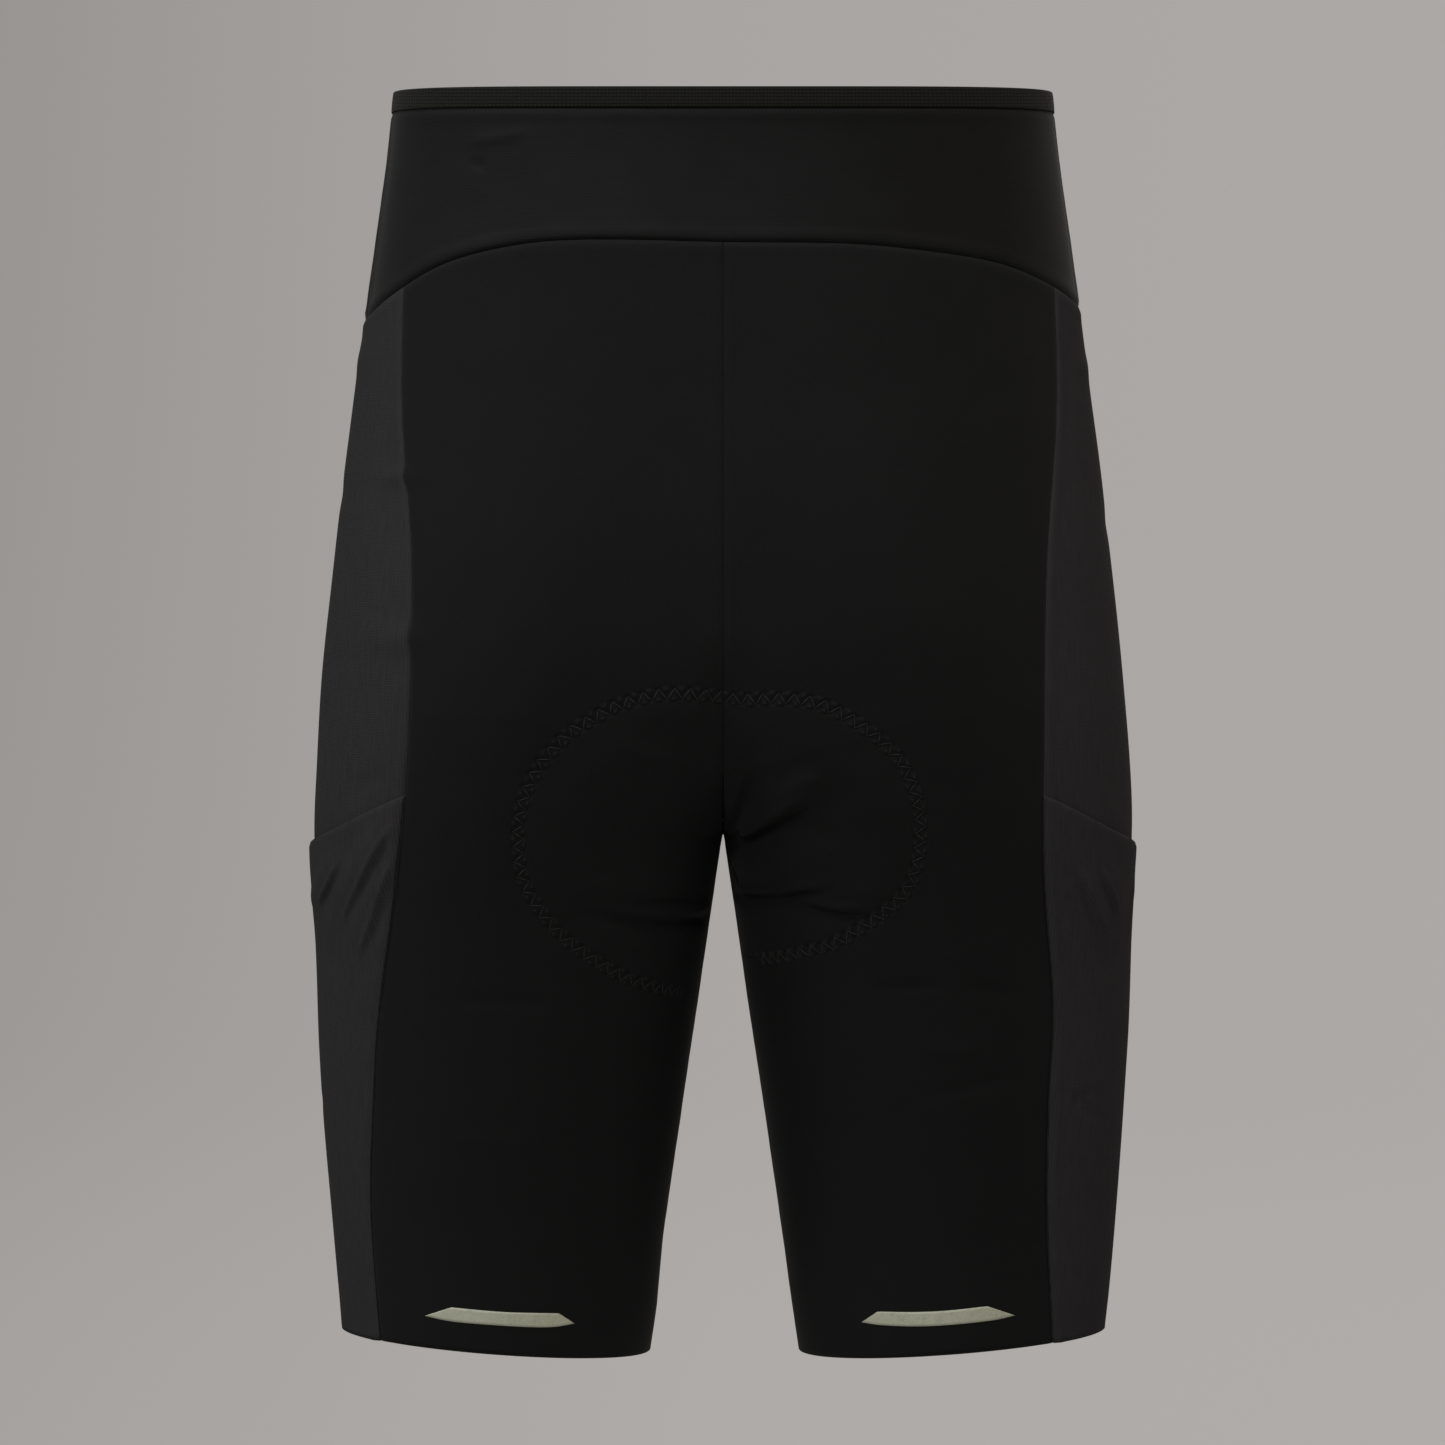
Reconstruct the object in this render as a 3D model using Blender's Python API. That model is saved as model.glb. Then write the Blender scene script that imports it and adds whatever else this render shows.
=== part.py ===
"""Cycling shorts, filled out as if worn, with no wearer: knitted back and front panels, a contoured
waistband under an elastic binding, woven side panels with a slanted pocket on each, two reflective
hem tabs and a seat pad inside.

Sizes are in millimetres and become metres when a mesh is made. X runs to the wearer's right, Y to
the front and Z up. The origin is the middle of the waist opening, level with its back edge.
"""

import math
from collections import namedtuple
from functools import lru_cache

import bmesh
import bpy
from mathutils import Vector

MM = 0.001

# Driving sizes of the worn form
FORK_Z = -333.5
HEM_Z = -561.0
HEM_SLOPE = 0.074
LEG_MIDDLE_X = 101.0
LEG_SPREAD = 0.1475
BACK_FORK_RISE = 22.0
FRONT_FORK_RISE = 17.0
FORK_FULLNESS = 2.9
THIGH_FULLNESS = 2.15

# Each row is one level of the body. The side is the widest point, the lobe is where the seat and the
# thigh stand out most, and back_y and front_y are how far they stand out there.
Section = namedtuple("Section", "z side_x lobe_x back_y front_y squareness")
SECTIONS = [
    Section(z=10, side_x=146.2, lobe_x=0, back_y=97, front_y=110, squareness=2.20),
    Section(z=-30, side_x=150.3, lobe_x=5, back_y=98, front_y=110, squareness=2.20),
    Section(z=-70, side_x=155.9, lobe_x=16, back_y=102, front_y=110, squareness=2.15),
    Section(z=-120, side_x=163.0, lobe_x=31, back_y=110, front_y=109, squareness=2.10),
    Section(z=-170, side_x=169.6, lobe_x=47, back_y=118, front_y=108, squareness=2.05),
    Section(z=-220, side_x=175.6, lobe_x=62, back_y=123, front_y=106, squareness=2.05),
    Section(z=-270, side_x=180.6, lobe_x=76, back_y=121, front_y=103, squareness=2.05),
    Section(z=-310, side_x=183.4, lobe_x=87, back_y=113, front_y=99, squareness=2.05),
    Section(z=-334, side_x=184.2, lobe_x=92, back_y=107, front_y=96, squareness=2.05),
    Section(z=-370, side_x=182.8, lobe_x=94.3, back_y=98, front_y=91, squareness=2.05),
    Section(z=-420, side_x=180.2, lobe_x=96.6, back_y=89, front_y=85, squareness=2.0),
    Section(z=-470, side_x=177.3, lobe_x=98.7, back_y=81, front_y=79, squareness=2.0),
    Section(z=-520, side_x=173.1, lobe_x=100.3, back_y=74, front_y=74, squareness=2.0),
    Section(z=-580, side_x=167.4, lobe_x=101.8, back_y=69, front_y=70, squareness=2.0),
]

# Where the side panels begin behind and in front, as distances from the middle plane.
SideSeam = namedtuple("SideSeam", "z back_left back_right front")
SIDE_SEAMS = [
    SideSeam(z=-60, back_left=141.5, back_right=147.0, front=141.0),
    SideSeam(z=-140, back_left=142.5, back_right=148.5, front=144.0),
    SideSeam(z=-210, back_left=137.5, back_right=143.5, front=146.0),
    SideSeam(z=-290, back_left=139.0, back_right=142.0, front=148.0),
    SideSeam(z=-345, back_left=144.0, back_right=142.0, front=148.0),
    SideSeam(z=-405, back_left=151.5, back_right=146.0, front=148.0),
    SideSeam(z=-450, back_left=154.5, back_right=144.0, front=147.0),
    SideSeam(z=-500, back_left=156.0, back_right=143.5, front=146.0),
    SideSeam(z=-570, back_left=151.0, back_right=147.0, front=145.0),
]

# The waistband's lower edge, by its share of the way round from the centre back to the centre front.
YokeEdge = namedtuple("YokeEdge", "share left_z right_z")
YOKE_EDGE = [
    YokeEdge(share=0.0, left_z=-67.9, right_z=-67.9),
    YokeEdge(share=0.13, left_z=-66.8, right_z=-68.6),
    YokeEdge(share=0.21, left_z=-68.8, right_z=-71.7),
    YokeEdge(share=0.30, left_z=-77.2, right_z=-77.5),
    YokeEdge(share=0.39, left_z=-92.9, right_z=-88.7),
    YokeEdge(share=0.45, left_z=-101.6, right_z=-95.8),
    YokeEdge(share=0.52, left_z=-105.5, right_z=-100.2),
    YokeEdge(share=0.60, left_z=-107.0, right_z=-104.0),
    YokeEdge(share=0.72, left_z=-104.0, right_z=-103.0),
    YokeEdge(share=0.86, left_z=-94.5, right_z=-94.5),
    YokeEdge(share=1.0, left_z=-90.0, right_z=-90.0),
]
YOKE_LEVEL = -68.2
YOKE_FADE_LEVEL = -235.0
FRONT_DIP = 22.0
FRONT_DIP_POWER = 2.6

# Cloth walls and the spaces between pieces
SEAM_GAP = 0.3
KNIT_WALL = 1.4
WOVEN_WALL = 1.1
POCKET_WALL = 1.1
BINDING_HEIGHT = 8.2
BINDING_WALL = 2.4
BINDING_PROUD = 0.5
BINDING_ROUND = 0.6
LAY_GAP = 0.3

# The pocket's slanted mouth, and how far it stands open
MouthEdge = namedtuple("MouthEdge", "share z")
POCKET_MOUTH = [
    MouthEdge(share=0.0, z=-312.3),
    MouthEdge(share=0.1, z=-319.8),
    MouthEdge(share=0.2, z=-327.0),
    MouthEdge(share=0.3, z=-332.3),
    MouthEdge(share=0.4, z=-336.2),
    MouthEdge(share=0.5, z=-339.2),
    MouthEdge(share=1.0, z=-352.0),
]
POCKET_MOUTH_TOP = -312.3
POCKET_GAPE = 0.8
POCKET_GAPE_REACH = 60.0
POCKET_GAPE_POWER = 0.7
POCKET_EVEN_LEVEL = -388.0
POCKET_COLUMNS = 20

# Each fold runs through three places, and size is how far it rises or sinks.
Fold = namedtuple("Fold", "x1 z1 x2 z2 x3 z3 half_width size")
# Creases sunk in the back panels beside the fork. Here x is across, seen from behind.
CREASES = [
    Fold(x1=3, z1=-324, x2=11, z2=-306, x3=15, z3=-290, half_width=7, size=2.4),
    Fold(x1=4, z1=-335, x2=28, z2=-322, x3=51, z3=-312, half_width=6, size=2.2),
    Fold(x1=5, z1=-356, x2=26, z2=-358.5, x3=50, z3=-356, half_width=5, size=2.0),
    Fold(x1=32, z1=-360, x2=48, z2=-364.5, x3=70, z3=-365, half_width=5, size=1.6),
    Fold(x1=-63, z1=-363, x2=-35, z2=-369, x3=-7, z3=-367, half_width=5, size=1.8),
]
# Folds raised in each pocket below its mouth. Here x is the distance along the cloth from the back seam.
LEFT_POCKET_FOLDS = [
    Fold(x1=44, z1=-343, x2=57, z2=-355, x3=80, z3=-368, half_width=7, size=1.6),
    Fold(x1=9, z1=-328, x2=25, z2=-348, x3=42, z3=-370, half_width=7, size=2.2),
    Fold(x1=4, z1=-341, x2=13.5, z2=-358, x3=23, z3=-384, half_width=6, size=2.0),
]
RIGHT_POCKET_FOLDS = [
    Fold(x1=22, z1=-345, x2=32, z2=-362, x3=43, z3=-380, half_width=8, size=1.6),
    Fold(x1=39, z1=-345, x2=49, z2=-359, x3=60, z3=-371, half_width=8, size=1.4),
]
FOLD_START_SHARE = 0.12
FOLD_END_SHARE = 0.93

# The seat pad: its outline is an oval round the fork, seen from behind, and a narrower one in front.
PAD_BACK_HALF_WIDTH = 92.0
PAD_BACK_TOP = 66.0
PAD_LEFT_DROP = 66.0
PAD_RIGHT_DROP = 56.0
PAD_FRONT_HALF_WIDTH = 62.0
PAD_FRONT_TOP = 52.0
PAD_THICKNESS = 8.0
PAD_EDGE_THICKNESS = 1.6
PAD_CLEARANCE = 2.2
PAD_SEAM_CLEARANCE = 3.4
PAD_CREASE_MARGIN = 7.0
PAD_CROWDING = 1.5
PAD_STEPS = 8
PAD_STATIONS = 20
PAD_RISE = 1.0
PAD_RISE_EDGE = 16.0
PAD_RISE_INNER_X = 2.0
PAD_RISE_OUTER_X = 14.0
BACK_RELIEF_START_Y = -20.0
BACK_RELIEF_FULL_Y = -60.0
PAD_SEAM_POWER = 2.4

# The reflective tabs near the back of each hem
TAB_THICKNESS = 0.4
TAB_INNER_X = 66.0
TAB_OUTER_X = 132.0
TAB_POINT = 11.0
TAB_TIP_SHARE = 0.06
TAB_POINT_HEIGHT = 0.4
TAB_HEIGHT = 7.0
TAB_ABOVE_HEM = 11.2
TAB_FACET_ROOM = 0.25
TAB_COLUMNS = 12
TAB_ROWS = 2

# How finely each panel is divided
LevelSpan = namedtuple("LevelSpan", "bottom step")
BACK_SPANS = [
    LevelSpan(bottom=-270, step=20),
    LevelSpan(bottom=-373, step=8),
    LevelSpan(bottom=HEM_Z, step=19),
]
FRONT_SPANS = [
    LevelSpan(bottom=-265, step=24),
    LevelSpan(bottom=-360, step=11),
    LevelSpan(bottom=HEM_Z, step=22),
]
SIDE_SPANS = [
    LevelSpan(bottom=-290, step=22),
    LevelSpan(bottom=HEM_Z, step=18),
]
POCKET_SPANS = [
    LevelSpan(bottom=POCKET_EVEN_LEVEL, step=9),
    LevelSpan(bottom=HEM_Z, step=19),
]
COLUMNS = {"back": 15, "side": 8, "front": 12}
INNER_COLUMNS = {"back": 6, "front": 5}
SHOULDER_X = 44.0
SHOULDER_DRIFT = 0.35
FORK_BAND = 90.0
FORK_BAND_REACH = 62.0
SEAM_CURVE_STEPS = 40
SEAM_CURVE_DEPTH = 105.0
YOKE_SEAM_COLUMN = 3
YOKE_PASSES = 4
YOKE_ROWS = 4
QUARTER_STEPS = 28
NORMAL_REACH = 1.5

LEFT, RIGHT = -1, 1
SIDE_NAMES = {LEFT: "left", RIGHT: "right"}


def mix(a, b, share):
    return a + (b - a) * share


def smooth_step(low, high, value):
    """0 at low and 1 at high, with a smooth change between. Low may be the larger of the two."""
    share = min(1.0, max(0.0, (value - low) / (high - low)))
    return share * share * (3 - 2 * share)


def read_curve(table, key, column, where):
    """A smooth curve through one column of a table, read at a place along its key column."""
    keys = [getattr(row, key) for row in table]
    values = [getattr(row, column) for row in table]
    if keys[0] > keys[-1]:
        keys.reverse()
        values.reverse()
    where = min(max(where, keys[0]), keys[-1])
    last = len(keys) - 2
    i = next((n for n in range(last) if where < keys[n + 1]), last)

    def slope(n):
        low, high = max(n - 1, 0), min(n + 1, len(keys) - 1)
        return (values[high] - values[low]) / (keys[high] - keys[low])

    span = keys[i + 1] - keys[i]
    t = (where - keys[i]) / span
    return (
        (2 * t**3 - 3 * t**2 + 1) * values[i]
        + (t**3 - 2 * t**2 + t) * span * slope(i)
        + (3 * t**2 - 2 * t**3) * values[i + 1]
        + (t**3 - t**2) * span * slope(i + 1)
    )


def inner_arc(z, lobe_x, depth, rise):
    """The inner part of an oval, from the middle plane or the inseam to the lobe. It is a whole quarter
    on a leg, and less above the fork, where the two ovals run together at the middle plane."""
    fullness = mix(THIGH_FULLNESS, FORK_FULLNESS, smooth_step(FORK_Z - 150, FORK_Z, z))
    if z <= FORK_Z:
        start, reach = math.pi / 2, lobe_x - LEG_SPREAD * (FORK_Z - z)
    else:
        middle_share = math.sqrt(1 - math.exp(-(z - FORK_Z) / rise))
        sine = (1 - min(middle_share, 0.99999) ** fullness) ** (1 / fullness)
        start, reach = math.asin(sine ** (fullness / 2)), lobe_x / sine
    angles = [start * (1 - n / QUARTER_STEPS) for n in range(QUARTER_STEPS)]
    power = 2 / fullness
    return [(lobe_x - reach * math.sin(a) ** power, depth * math.cos(a) ** power) for a in angles]


@lru_cache(maxsize=None)
def half_section(z):
    """One half of the body's outline at a level, from the centre back or inseam, round the outside, to
    the centre front, as points (x, y) and the length along them."""
    side_x = read_curve(SECTIONS, "z", "side_x", z)
    lobe_x = read_curve(SECTIONS, "z", "lobe_x", z)
    back_y = read_curve(SECTIONS, "z", "back_y", z)
    front_y = read_curve(SECTIONS, "z", "front_y", z)
    power = 2 / read_curve(SECTIONS, "z", "squareness", z)

    def outer_part(depth):
        angles = [math.pi / 2 * n / QUARTER_STEPS for n in range(QUARTER_STEPS)]
        reach = side_x - lobe_x
        return [
            (lobe_x + reach * math.sin(a) ** power, depth * math.cos(a) ** power)
            for a in angles
        ]

    back = inner_arc(z, lobe_x, -back_y, BACK_FORK_RISE) + outer_part(-back_y)
    front = inner_arc(z, lobe_x, front_y, FRONT_FORK_RISE) + outer_part(front_y)
    points = back + [(side_x, 0.0)] + front[::-1]
    lengths = [0.0]
    for (x1, y1), (x2, y2) in zip(points, points[1:]):
        lengths.append(lengths[-1] + math.hypot(x2 - x1, y2 - y1))
    return points, lengths


def point_along(z, length):
    """The point (x, y) at a length along a half outline."""
    points, lengths = half_section(z)
    low, high = 0, len(lengths) - 1
    while high - low > 1:
        middle = (low + high) // 2
        if lengths[middle] <= length:
            low = middle
        else:
            high = middle
    span = max(lengths[high] - lengths[low], 1e-9)
    share = (length - lengths[low]) / span
    return (
        mix(points[low][0], points[high][0], share),
        mix(points[low][1], points[high][1], share),
    )


def girth(z):
    return half_section(z)[1][-1]


def length_at_x(x, z, half):
    """The length along an outline at which its back or front half reaches a distance from the middle
    plane."""
    points, lengths = half_section(z)
    step, n = (1, 0) if half == "back" else (-1, len(points) - 1)
    while points[n + step][0] < x:
        n += step
    share = max(0.0, (x - points[n][0]) / (points[n + step][0] - points[n][0]))
    return mix(lengths[n], lengths[n + step], share)


def seam_length(z, side, half):
    """The length along an outline at which the back or front seam of the side panel lies."""
    column = "front" if half == "front" else "back_" + SIDE_NAMES[side]
    return length_at_x(read_curve(SIDE_SEAMS, "z", column, z), z, half)


def shoulder_length(z, half):
    """The length along an outline of the place a hand's breadth from the centre seam, which stays put
    while the centre seam runs in under the fork."""
    return length_at_x(SHOULDER_X + SHOULDER_DRIFT * LEG_SPREAD * max(0.0, FORK_Z - z), z, half)


def panel_length(panel, column, z, side):
    """The length along a half outline of a panel's column. Columns run from the edge nearer the centre
    back. Half a seam gap is left at each edge."""
    count = COLUMNS[panel]
    if panel == "side":
        start = seam_length(z, side, "back") + SEAM_GAP / 2
        end = seam_length(z, side, "front") - SEAM_GAP / 2
        return mix(start, end, column / count)
    inner = INNER_COLUMNS[panel]
    shoulder = shoulder_length(z, panel)
    outer_edge = seam_length(z, side, panel)
    if panel == "back":
        if column <= inner:
            return mix(SEAM_GAP / 2, shoulder, column / inner)
        return mix(shoulder, outer_edge - SEAM_GAP / 2, (column - inner) / (count - inner))
    if column >= count - inner:
        share = (column - count + inner) / inner
        return mix(shoulder, girth(z) - SEAM_GAP / 2, share)
    return mix(outer_edge + SEAM_GAP / 2, shoulder, column / (count - inner))


def surface_point(z, length, side):
    x, y = point_along(z, length)
    return Vector((side * x, y, z))


def nearest_length(x, y, z, half=None):
    """The length along an outline, or along its back or front half, that lies nearest a point."""
    points, lengths = half_section(z)
    widest, last = 2 * QUARTER_STEPS, len(points) - 1
    spans = {"back": (0, widest), "front": (widest, last), None: (0, last)}
    best, found = 1e9, 0.0
    for n in range(*spans[half]):
        (x1, y1), (x2, y2) = points[n], points[n + 1]
        run = (x2 - x1) ** 2 + (y2 - y1) ** 2
        share = ((x - x1) * (x2 - x1) + (y - y1) * (y2 - y1)) / max(run, 1e-9)
        share = min(1.0, max(0.0, share))
        distance = (x - mix(x1, x2, share)) ** 2 + (y - mix(y1, y2, share)) ** 2
        if distance < best:
            best, found = distance, mix(lengths[n], lengths[n + 1], share)
    return found


def surface_normal(z, length, side):
    """The outward direction at a place on the worn form, from the outline's own direction and from how
    far the outline moves out or in with height."""
    reach = NORMAL_REACH
    x, y = point_along(z, length)
    x1, y1 = point_along(z, max(length - reach, 0.0))
    x2, y2 = point_along(z, min(length + reach, girth(z)))
    run = math.hypot(x2 - x1, y2 - y1)
    out_x, out_y = (y2 - y1) / run, (x1 - x2) / run
    offsets = []
    for level in (z - reach, z + reach):
        near_x, near_y = point_along(level, nearest_length(x, y, level))
        offsets.append((near_x - x) * out_x + (near_y - y) * out_y)
    lean = (offsets[1] - offsets[0]) / (2 * reach)
    return Vector((side * out_x, out_y, -lean)).normalized()


def fold_size(folds, x, z, spread=0.0):
    """How far the folds of a table rise or sink at a place. Spread widens them."""
    largest = 0.0
    for fold in folds:
        path = [(fold.x1, fold.z1), (fold.x2, fold.z2), (fold.x3, fold.z3)]
        nearest, run = math.inf, 0.0
        for n, ((x1, z1), (x2, z2)) in enumerate(zip(path, path[1:])):
            length = math.hypot(x2 - x1, z2 - z1)
            share = ((x - x1) * (x2 - x1) + (z - z1) * (z2 - z1)) / length**2
            share = min(1.0, max(0.0, share))
            distance = math.hypot(x - mix(x1, x2, share), z - mix(z1, z2, share))
            if distance < nearest:
                nearest, run = distance, (n + share) / 2
        across = math.exp(-((max(0.0, nearest - spread) / (fold.half_width + spread)) ** 2))
        along = math.sin(math.pi * mix(FOLD_START_SHARE, FOLD_END_SHARE, run))
        largest = max(largest, fold.size * across * along)
    return largest


def pad_radius(x, z, side):
    """How far a place lies from the middle of the pad's back oval, as a share of the oval's own reach."""
    drop = PAD_LEFT_DROP if side == LEFT else PAD_RIGHT_DROP
    tall = PAD_BACK_TOP if z > FORK_Z else drop
    return math.hypot(x / PAD_BACK_HALF_WIDTH, (z - FORK_Z) / tall)


def back_relief(point, side):
    """How far the back cloth stands out where the pad fills it, less what the creases take."""
    if point.y > BACK_RELIEF_START_Y:
        return 0.0
    inset = (1 - pad_radius(point.x, point.z, side)) * PAD_BACK_HALF_WIDTH
    rise = PAD_RISE * smooth_step(0, PAD_RISE_EDGE, inset)
    away = smooth_step(PAD_RISE_INNER_X, PAD_RISE_OUTER_X, abs(point.x))
    behind = smooth_step(BACK_RELIEF_START_Y, BACK_RELIEF_FULL_Y, point.y)
    return rise * away * behind - fold_size(CREASES, point.x, point.z)


def yoke_edge_z(share, side):
    return read_curve(YOKE_EDGE, "share", SIDE_NAMES[side] + "_z", share)


def waist_top_z(share):
    """The top edge of the waist, which dips towards the front."""
    return -FRONT_DIP * (0.5 - 0.5 * math.cos(math.pi * share)) ** FRONT_DIP_POWER


@lru_cache(maxsize=None)
def seam_curve(fork_rise):
    """Points (length along it, height above the fork) of the centre seam, from the fork up."""
    curve, y, height = [(0.0, 0.0)], 0.0, 0.0
    middle_limit = 1 - math.exp(-FORK_BAND / fork_rise)
    for n in range(SEAM_CURVE_STEPS):
        middle_share = (n + 1) / SEAM_CURVE_STEPS * math.sqrt(middle_limit)
        next_y = SEAM_CURVE_DEPTH * middle_share
        next_height = -fork_rise * math.log(1 - middle_share**2)
        step = math.hypot(next_y - y, next_height - height)
        curve.append((curve[-1][0] + step, next_height))
        y, height = next_y, next_height
    return curve


def seam_height(rise, fork_rise):
    """The height at which a row meets the centre seam, so that rows meet it at even distances."""
    curve = seam_curve(fork_rise)
    wanted = curve[-1][0] * rise / FORK_BAND
    for (low, low_height), (high, high_height) in zip(curve, curve[1:]):
        if wanted <= high:
            return mix(low_height, high_height, (wanted - low) / (high - low))
    return rise


def fork_drop(rise, length, level):
    """How far a row above the fork sinks near the centre seam, where it follows the cloth in under the
    fork, so that rows meet that seam at even distances."""
    if not 0 < rise < FORK_BAND:
        return 0.0
    from_back = length < girth(level) / 2
    from_centre = length if from_back else girth(level) - length
    fork_rise = BACK_FORK_RISE if from_back else FRONT_FORK_RISE
    drop = rise - seam_height(rise, fork_rise)
    return drop * math.exp(-((from_centre / FORK_BAND_REACH) ** 2))


def panel_place(panel, column, level, side):
    """The height and the length along the outline of one grid point of a panel. Rows follow the
    waistband's edge at the top, sink towards the fork beside the centre seam, and slope with the hem
    at the bottom."""
    z = level
    follow = smooth_step(YOKE_FADE_LEVEL, YOKE_LEVEL, level)
    if follow > 0:
        for _ in range(YOKE_PASSES):
            share = panel_length(panel, column, z, side) / girth(z)
            z = level + (yoke_edge_z(share, side) - YOKE_LEVEL) * follow
    length = panel_length(panel, column, level, side)
    z -= fork_drop(level - FORK_Z, length, level)
    x, _ = point_along(level, length)
    lean = smooth_step(FORK_Z - FORK_BAND, HEM_Z, level)
    z += (x - LEG_MIDDLE_X) * HEM_SLOPE * lean
    if level == YOKE_LEVEL:
        z -= SEAM_GAP / 2
    return z, panel_length(panel, column, z, side)


def row_levels(spans, top):
    """Levels from the top down, each span with its own spacing."""
    levels = [top]
    for span in spans:
        if span.bottom >= levels[-1]:
            continue
        count = max(1, round((levels[-1] - span.bottom) / span.step))
        start = levels[-1]
        levels += [mix(start, span.bottom, (n + 1) / count) for n in range(count)]
    return levels


def cloth_points(z, length, side, wall, lift=0.0, relief=None):
    """The outer and inner point of a cloth wall at a place on the worn form."""
    point = surface_point(z, length, side)
    normal = surface_normal(z, length, side)
    raised = lift + (relief(point, side) if relief else 0.0)
    outer = point + normal * raised
    return outer, outer - normal * wall


def make_material(name, colour, roughness):
    material = bpy.data.materials.new(name)
    material.use_nodes = True
    shader = material.node_tree.nodes["Principled BSDF"]
    shader.inputs["Base Color"].default_value = (*colour, 1.0)
    shader.inputs["Roughness"].default_value = roughness
    shader.inputs["Metallic"].default_value = 0.0
    return material


def wall_object(name, material, outer, inner, ring=False):
    """A closed wall between two grids of points. A ring joins its last column to its first."""
    shape = bmesh.new()
    rows, columns = len(outer), len(outer[0])
    front, back = (
        [[shape.verts.new(point * MM) for point in row] for row in grid]
        for grid in (outer, inner)
    )
    cells = columns if ring else columns - 1

    def quad(a, b, c, d):
        shape.faces.new((a, b, c))
        shape.faces.new((a, c, d))

    for r in range(rows - 1):
        for c in range(cells):
            d = (c + 1) % columns
            quad(front[r][c], front[r][d], front[r + 1][d], front[r + 1][c])
            quad(back[r + 1][c], back[r + 1][d], back[r][d], back[r][c])
    for c in range(cells):
        d = (c + 1) % columns
        quad(back[0][c], back[0][d], front[0][d], front[0][c])
        quad(front[-1][c], front[-1][d], back[-1][d], back[-1][c])
    if not ring:
        for r in range(rows - 1):
            quad(front[r][0], front[r + 1][0], back[r + 1][0], back[r][0])
            quad(back[r][-1], back[r + 1][-1], front[r + 1][-1], front[r][-1])
    bmesh.ops.recalc_face_normals(shape, faces=shape.faces)
    mesh = bpy.data.meshes.new(name)
    shape.to_mesh(mesh)
    shape.free()
    mesh.shade_smooth()
    mesh.set_sharp_from_angle(angle=math.radians(40))
    mesh.materials.append(material)
    made = bpy.data.objects.new(name, mesh)
    bpy.context.scene.collection.objects.link(made)
    return made


def body_panel(panel, side, spans, wall, material, relief=None):
    """A back, side or front panel, from the waistband to the hem."""
    outer, inner = [], []
    for level in row_levels(spans, YOKE_LEVEL):
        places = [panel_place(panel, column, level, side) for column in range(COLUMNS[panel] + 1)]
        pairs = [cloth_points(z, length, side, wall, relief=relief) for z, length in places]
        outer.append([pair[0] for pair in pairs])
        inner.append([pair[1] for pair in pairs])
    return wall_object(f"{panel}_panel_{SIDE_NAMES[side]}", material, outer, inner)


def waist_columns(side, panel):
    """The lengths, as shares of the half girth, of a panel's columns where it meets the waistband."""
    found = []
    for column in range(COLUMNS[panel] + 1):
        z, length = panel_place(panel, column, YOKE_LEVEL, side)
        found.append(length / girth(z))
    return found


def half_waist_shares(side):
    """The columns of the waistband on one side: those of the three panels below it."""
    back, middle, front = (waist_columns(side, panel) for panel in ("back", "side", "front"))
    back[0], front[-1] = 0.0, 1.0
    back[-1] = (back[-1] + middle[0]) / 2
    front[0] = (middle[-1] + front[0]) / 2
    return back + middle[1:-1] + front


def band_columns(part):
    """(side, share) of each column of the back or front waistband, from one side seam to the other."""
    seam = COLUMNS["back"] + YOKE_SEAM_COLUMN
    columns = {}
    for side in (LEFT, RIGHT):
        shares = half_waist_shares(side)
        shares = shares[: seam + 1] if part == "back" else shares[seam:]
        trim = SEAM_GAP / 2 / girth(YOKE_LEVEL)
        if part == "back":
            shares[-1] -= trim
        else:
            shares[0] += trim
        columns[side] = [(side, share) for share in shares]
    if part == "back":
        return columns[LEFT][:0:-1] + columns[RIGHT]
    return columns[RIGHT][:-1] + columns[LEFT][::-1]


def waistband(part, material):
    """The deep contoured band under the elastic binding."""
    outer, inner = [], []
    for row in range(YOKE_ROWS + 1):
        pairs = []
        for side, share in band_columns(part):
            top = waist_top_z(share) - BINDING_HEIGHT - SEAM_GAP
            z = mix(top, yoke_edge_z(share, side) + SEAM_GAP / 2, row / YOKE_ROWS)
            pairs.append(cloth_points(z, share * girth(z), side, KNIT_WALL))
        outer.append([pair[0] for pair in pairs])
        inner.append([pair[1] for pair in pairs])
    return wall_object(f"waistband_{part}", material, outer, inner)


def waist_binding(material):
    """The ribbed elastic round the top edge, a little thicker than the band, with rounded edges."""
    columns = [(RIGHT, share) for share in half_waist_shares(RIGHT)]
    columns += [(LEFT, share) for share in half_waist_shares(LEFT)[-2:0:-1]]
    low = BINDING_HEIGHT - BINDING_ROUND
    profile = [(0.0, -BINDING_ROUND), (BINDING_ROUND, 0.0), (low, 0.0), (BINDING_HEIGHT, -BINDING_ROUND)]
    outer, inner = [], []
    for drop, tuck in profile:
        pairs = []
        for side, share in columns:
            z = waist_top_z(share) - drop
            lift = BINDING_PROUD + tuck
            pairs.append(cloth_points(z, share * girth(z), side, BINDING_WALL + 2 * tuck, lift))
        outer.append([pair[0] for pair in pairs])
        inner.append([pair[1] for pair in pairs])
    return wall_object("waist_binding", material, outer, inner, ring=True)


def mouth_z(share):
    """The pocket's upper edge, by its share of the way across the side panel from the back seam."""
    return read_curve(POCKET_MOUTH, "share", "z", share)


def pocket_level(level, share):
    """The level of a pocket row at a place across it. Its top row follows the mouth."""
    if level <= POCKET_EVEN_LEVEL:
        return level
    sunk = (POCKET_MOUTH_TOP - level) / (POCKET_MOUTH_TOP - POCKET_EVEN_LEVEL)
    return mix(mouth_z(share), POCKET_EVEN_LEVEL, sunk)


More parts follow.
